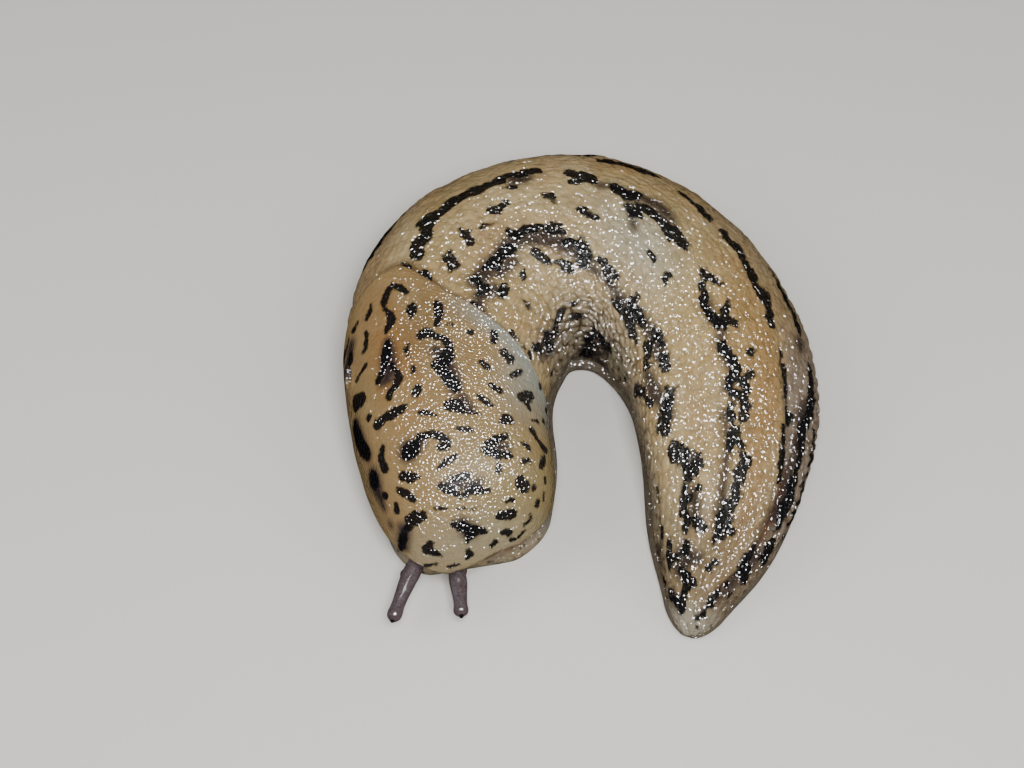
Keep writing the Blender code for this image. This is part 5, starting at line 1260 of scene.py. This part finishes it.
tree.links.new(bump.outputs[0], shader.inputs["Normal"])
tree.links.new(bump.outputs[0], shader.inputs["Coat Normal"])
for node, root_across, root_level, straight, fall, end, profile in STALKS:
    root_u, root_v = on_face(root_across, root_level)
    near = core(root_u, root_v)
    out = np.cross(core(root_u, root_v + 0.02) - near, core(root_u + 0.1, root_v) - near)
    out /= np.linalg.norm(out)
    root = near + out * ROOT_OUT
    bend = root + out * straight - np.array([0.0, 0.0, fall])
    end = np.array(end)
    steps = np.linspace(0, 1, CURVE_STEPS)
    fine_line, way = along_curve(root, bend, end, steps)
    run = np.concatenate([[0], np.cumsum(np.linalg.norm(np.diff(fine_line, axis=0), axis=1))])
    share, radius = np.array(profile).T
    key = np.concatenate([[0], np.cumsum(np.hypot(np.diff(share) * run[-1], np.diff(radius)))])
    curve = spline_through(key, np.stack([share, radius], -1), np.linspace(0, key[-1], STALK_RINGS))
    t = np.interp(np.clip(curve[:, 0], 0, 1) * run[-1], run, steps)
    centre, way = along_curve(root, bend, end, t)
    centre = centre - way * (ROOT_SUNK * (1 - smooth(0, ROOT_SHARE, curve[:, 0])))[:, None]
    first = np.cross(way, [0.0, 0.0, 1.0])
    first /= np.linalg.norm(first, axis=1, keepdims=True)
    second = np.cross(way, first)
    spin = np.arange(STALK_AROUND) * 2 * np.pi / STALK_AROUND
    stalk = centre[:, None, :] + curve[:, 1][:, None, None] * (
        first[:, None, :] * np.cos(spin)[None, :, None] + second[:, None, :] * np.sin(spin)[None, :, None])
    points, quads, triangles = closed_tube(stalk, stalk[0].mean(0), stalk[-1].mean(0))
    piece = add_piece(node + "_skin", points, quads, triangles, tube_map(STALK_RINGS, STALK_AROUND), {})
    piece.data.materials.append(stalk_material)
    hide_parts(node)


# The eyes: small black cups sunk in the stalks' tips under clear skin, so each shows one highlight.
EYE_GRAIN = 0.15
eye_material, tree, shader, place = new_material("black_eye", 0.20, 0.04, 0.0)
grain = add(tree, "ShaderNodeTexNoise", {"Vector": place, "Scale": 1 / (EYE_GRAIN * MM), "Detail": 2.0})
eye_colour = add(tree, "ShaderNodeMix", {
    0: grain.outputs["Fac"], 6: "#050506", 7: "#14121A"}, data_type="RGBA")
tree.links.new(eye_colour.outputs[2], shader.inputs["Base Color"])
for node in ("eye_left", "eye_right"):
    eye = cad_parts[node]
    eye.data.materials.clear()
    eye.data.materials.append(eye_material)


# Studio: a floor of plain pale paper, a lamp in front that only the wet shine sees, three soft lamps
# that only the colours see, and faint light from all round. The shine sees neither floor nor sky.
floor_mesh = bpy.data.meshes.new("floor")
floor_mesh.from_pydata([(-1, -1, 0), (1, -1, 0), (1, 1, 0), (-1, 1, 0)], [], [(0, 1, 2, 3)])
floor = bpy.data.objects.new("floor", floor_mesh)
bpy.context.scene.collection.objects.link(floor)
floor_material = bpy.data.materials.new("pale_matt_paper")
floor_material.use_nodes = True
shader = floor_material.node_tree.nodes["Principled BSDF"]
shader.inputs["Base Color"].default_value = (*linear("#D9D6D0"), 1.0)
shader.inputs["Roughness"].default_value = 0.95
shader.inputs["Specular IOR Level"].default_value = 0.1
floor.data.materials.append(floor_material)
floor.visible_glossy = False

camera_data = bpy.data.cameras.new("camera")
camera_data.lens = LENS
camera_data.sensor_width = SENSOR
camera_data.clip_start = 0.01
camera = bpy.data.objects.new("camera", camera_data)
camera.location = (eye_point - ORIGIN) * MM
camera.rotation_euler = (np.pi / 2 - CAMERA_RISE, 0, 0)
bpy.context.scene.collection.objects.link(camera)
bpy.context.scene.camera = camera


LAMP_AIM = 8.0


def add_lamp(name, place, size, power, lights, shines):
    """Square lamp at a place in mm, turned to the object, that lights its colours or its wet shine."""
    data = bpy.data.lights.new(name, "AREA")
    data.size = size * MM
    data.energy = power
    lamp = bpy.data.objects.new(name, data)
    x, y, z = place[0], place[1], place[2] - LAMP_AIM
    lamp.location = np.array(place, float) * MM
    lamp.rotation_euler = (np.arctan2(np.hypot(x, y), z), 0, np.arctan2(x, -y))
    lamp.visible_diffuse = lights
    lamp.visible_glossy = shines
    bpy.context.scene.collection.objects.link(lamp)


add_lamp("shine_lamp", (12, -95, 240), 105, 2.9, False, True)
add_lamp("front_lamp", (10, -130, 240), 90, 0.75, True, False)
add_lamp("soft_left", (-240, -40, 240), 240, 0.45, True, False)
add_lamp("soft_right", (240, -60, 240), 240, 0.35, True, False)
world = bpy.data.worlds.new("studio")
world.use_nodes = True
world.node_tree.nodes["Background"].inputs["Color"].default_value = (*linear("#F2EFEA"), 1.0)
world.node_tree.nodes["Background"].inputs["Strength"].default_value = 0.16
world.cycles_visibility.glossy = False
bpy.context.scene.world = world
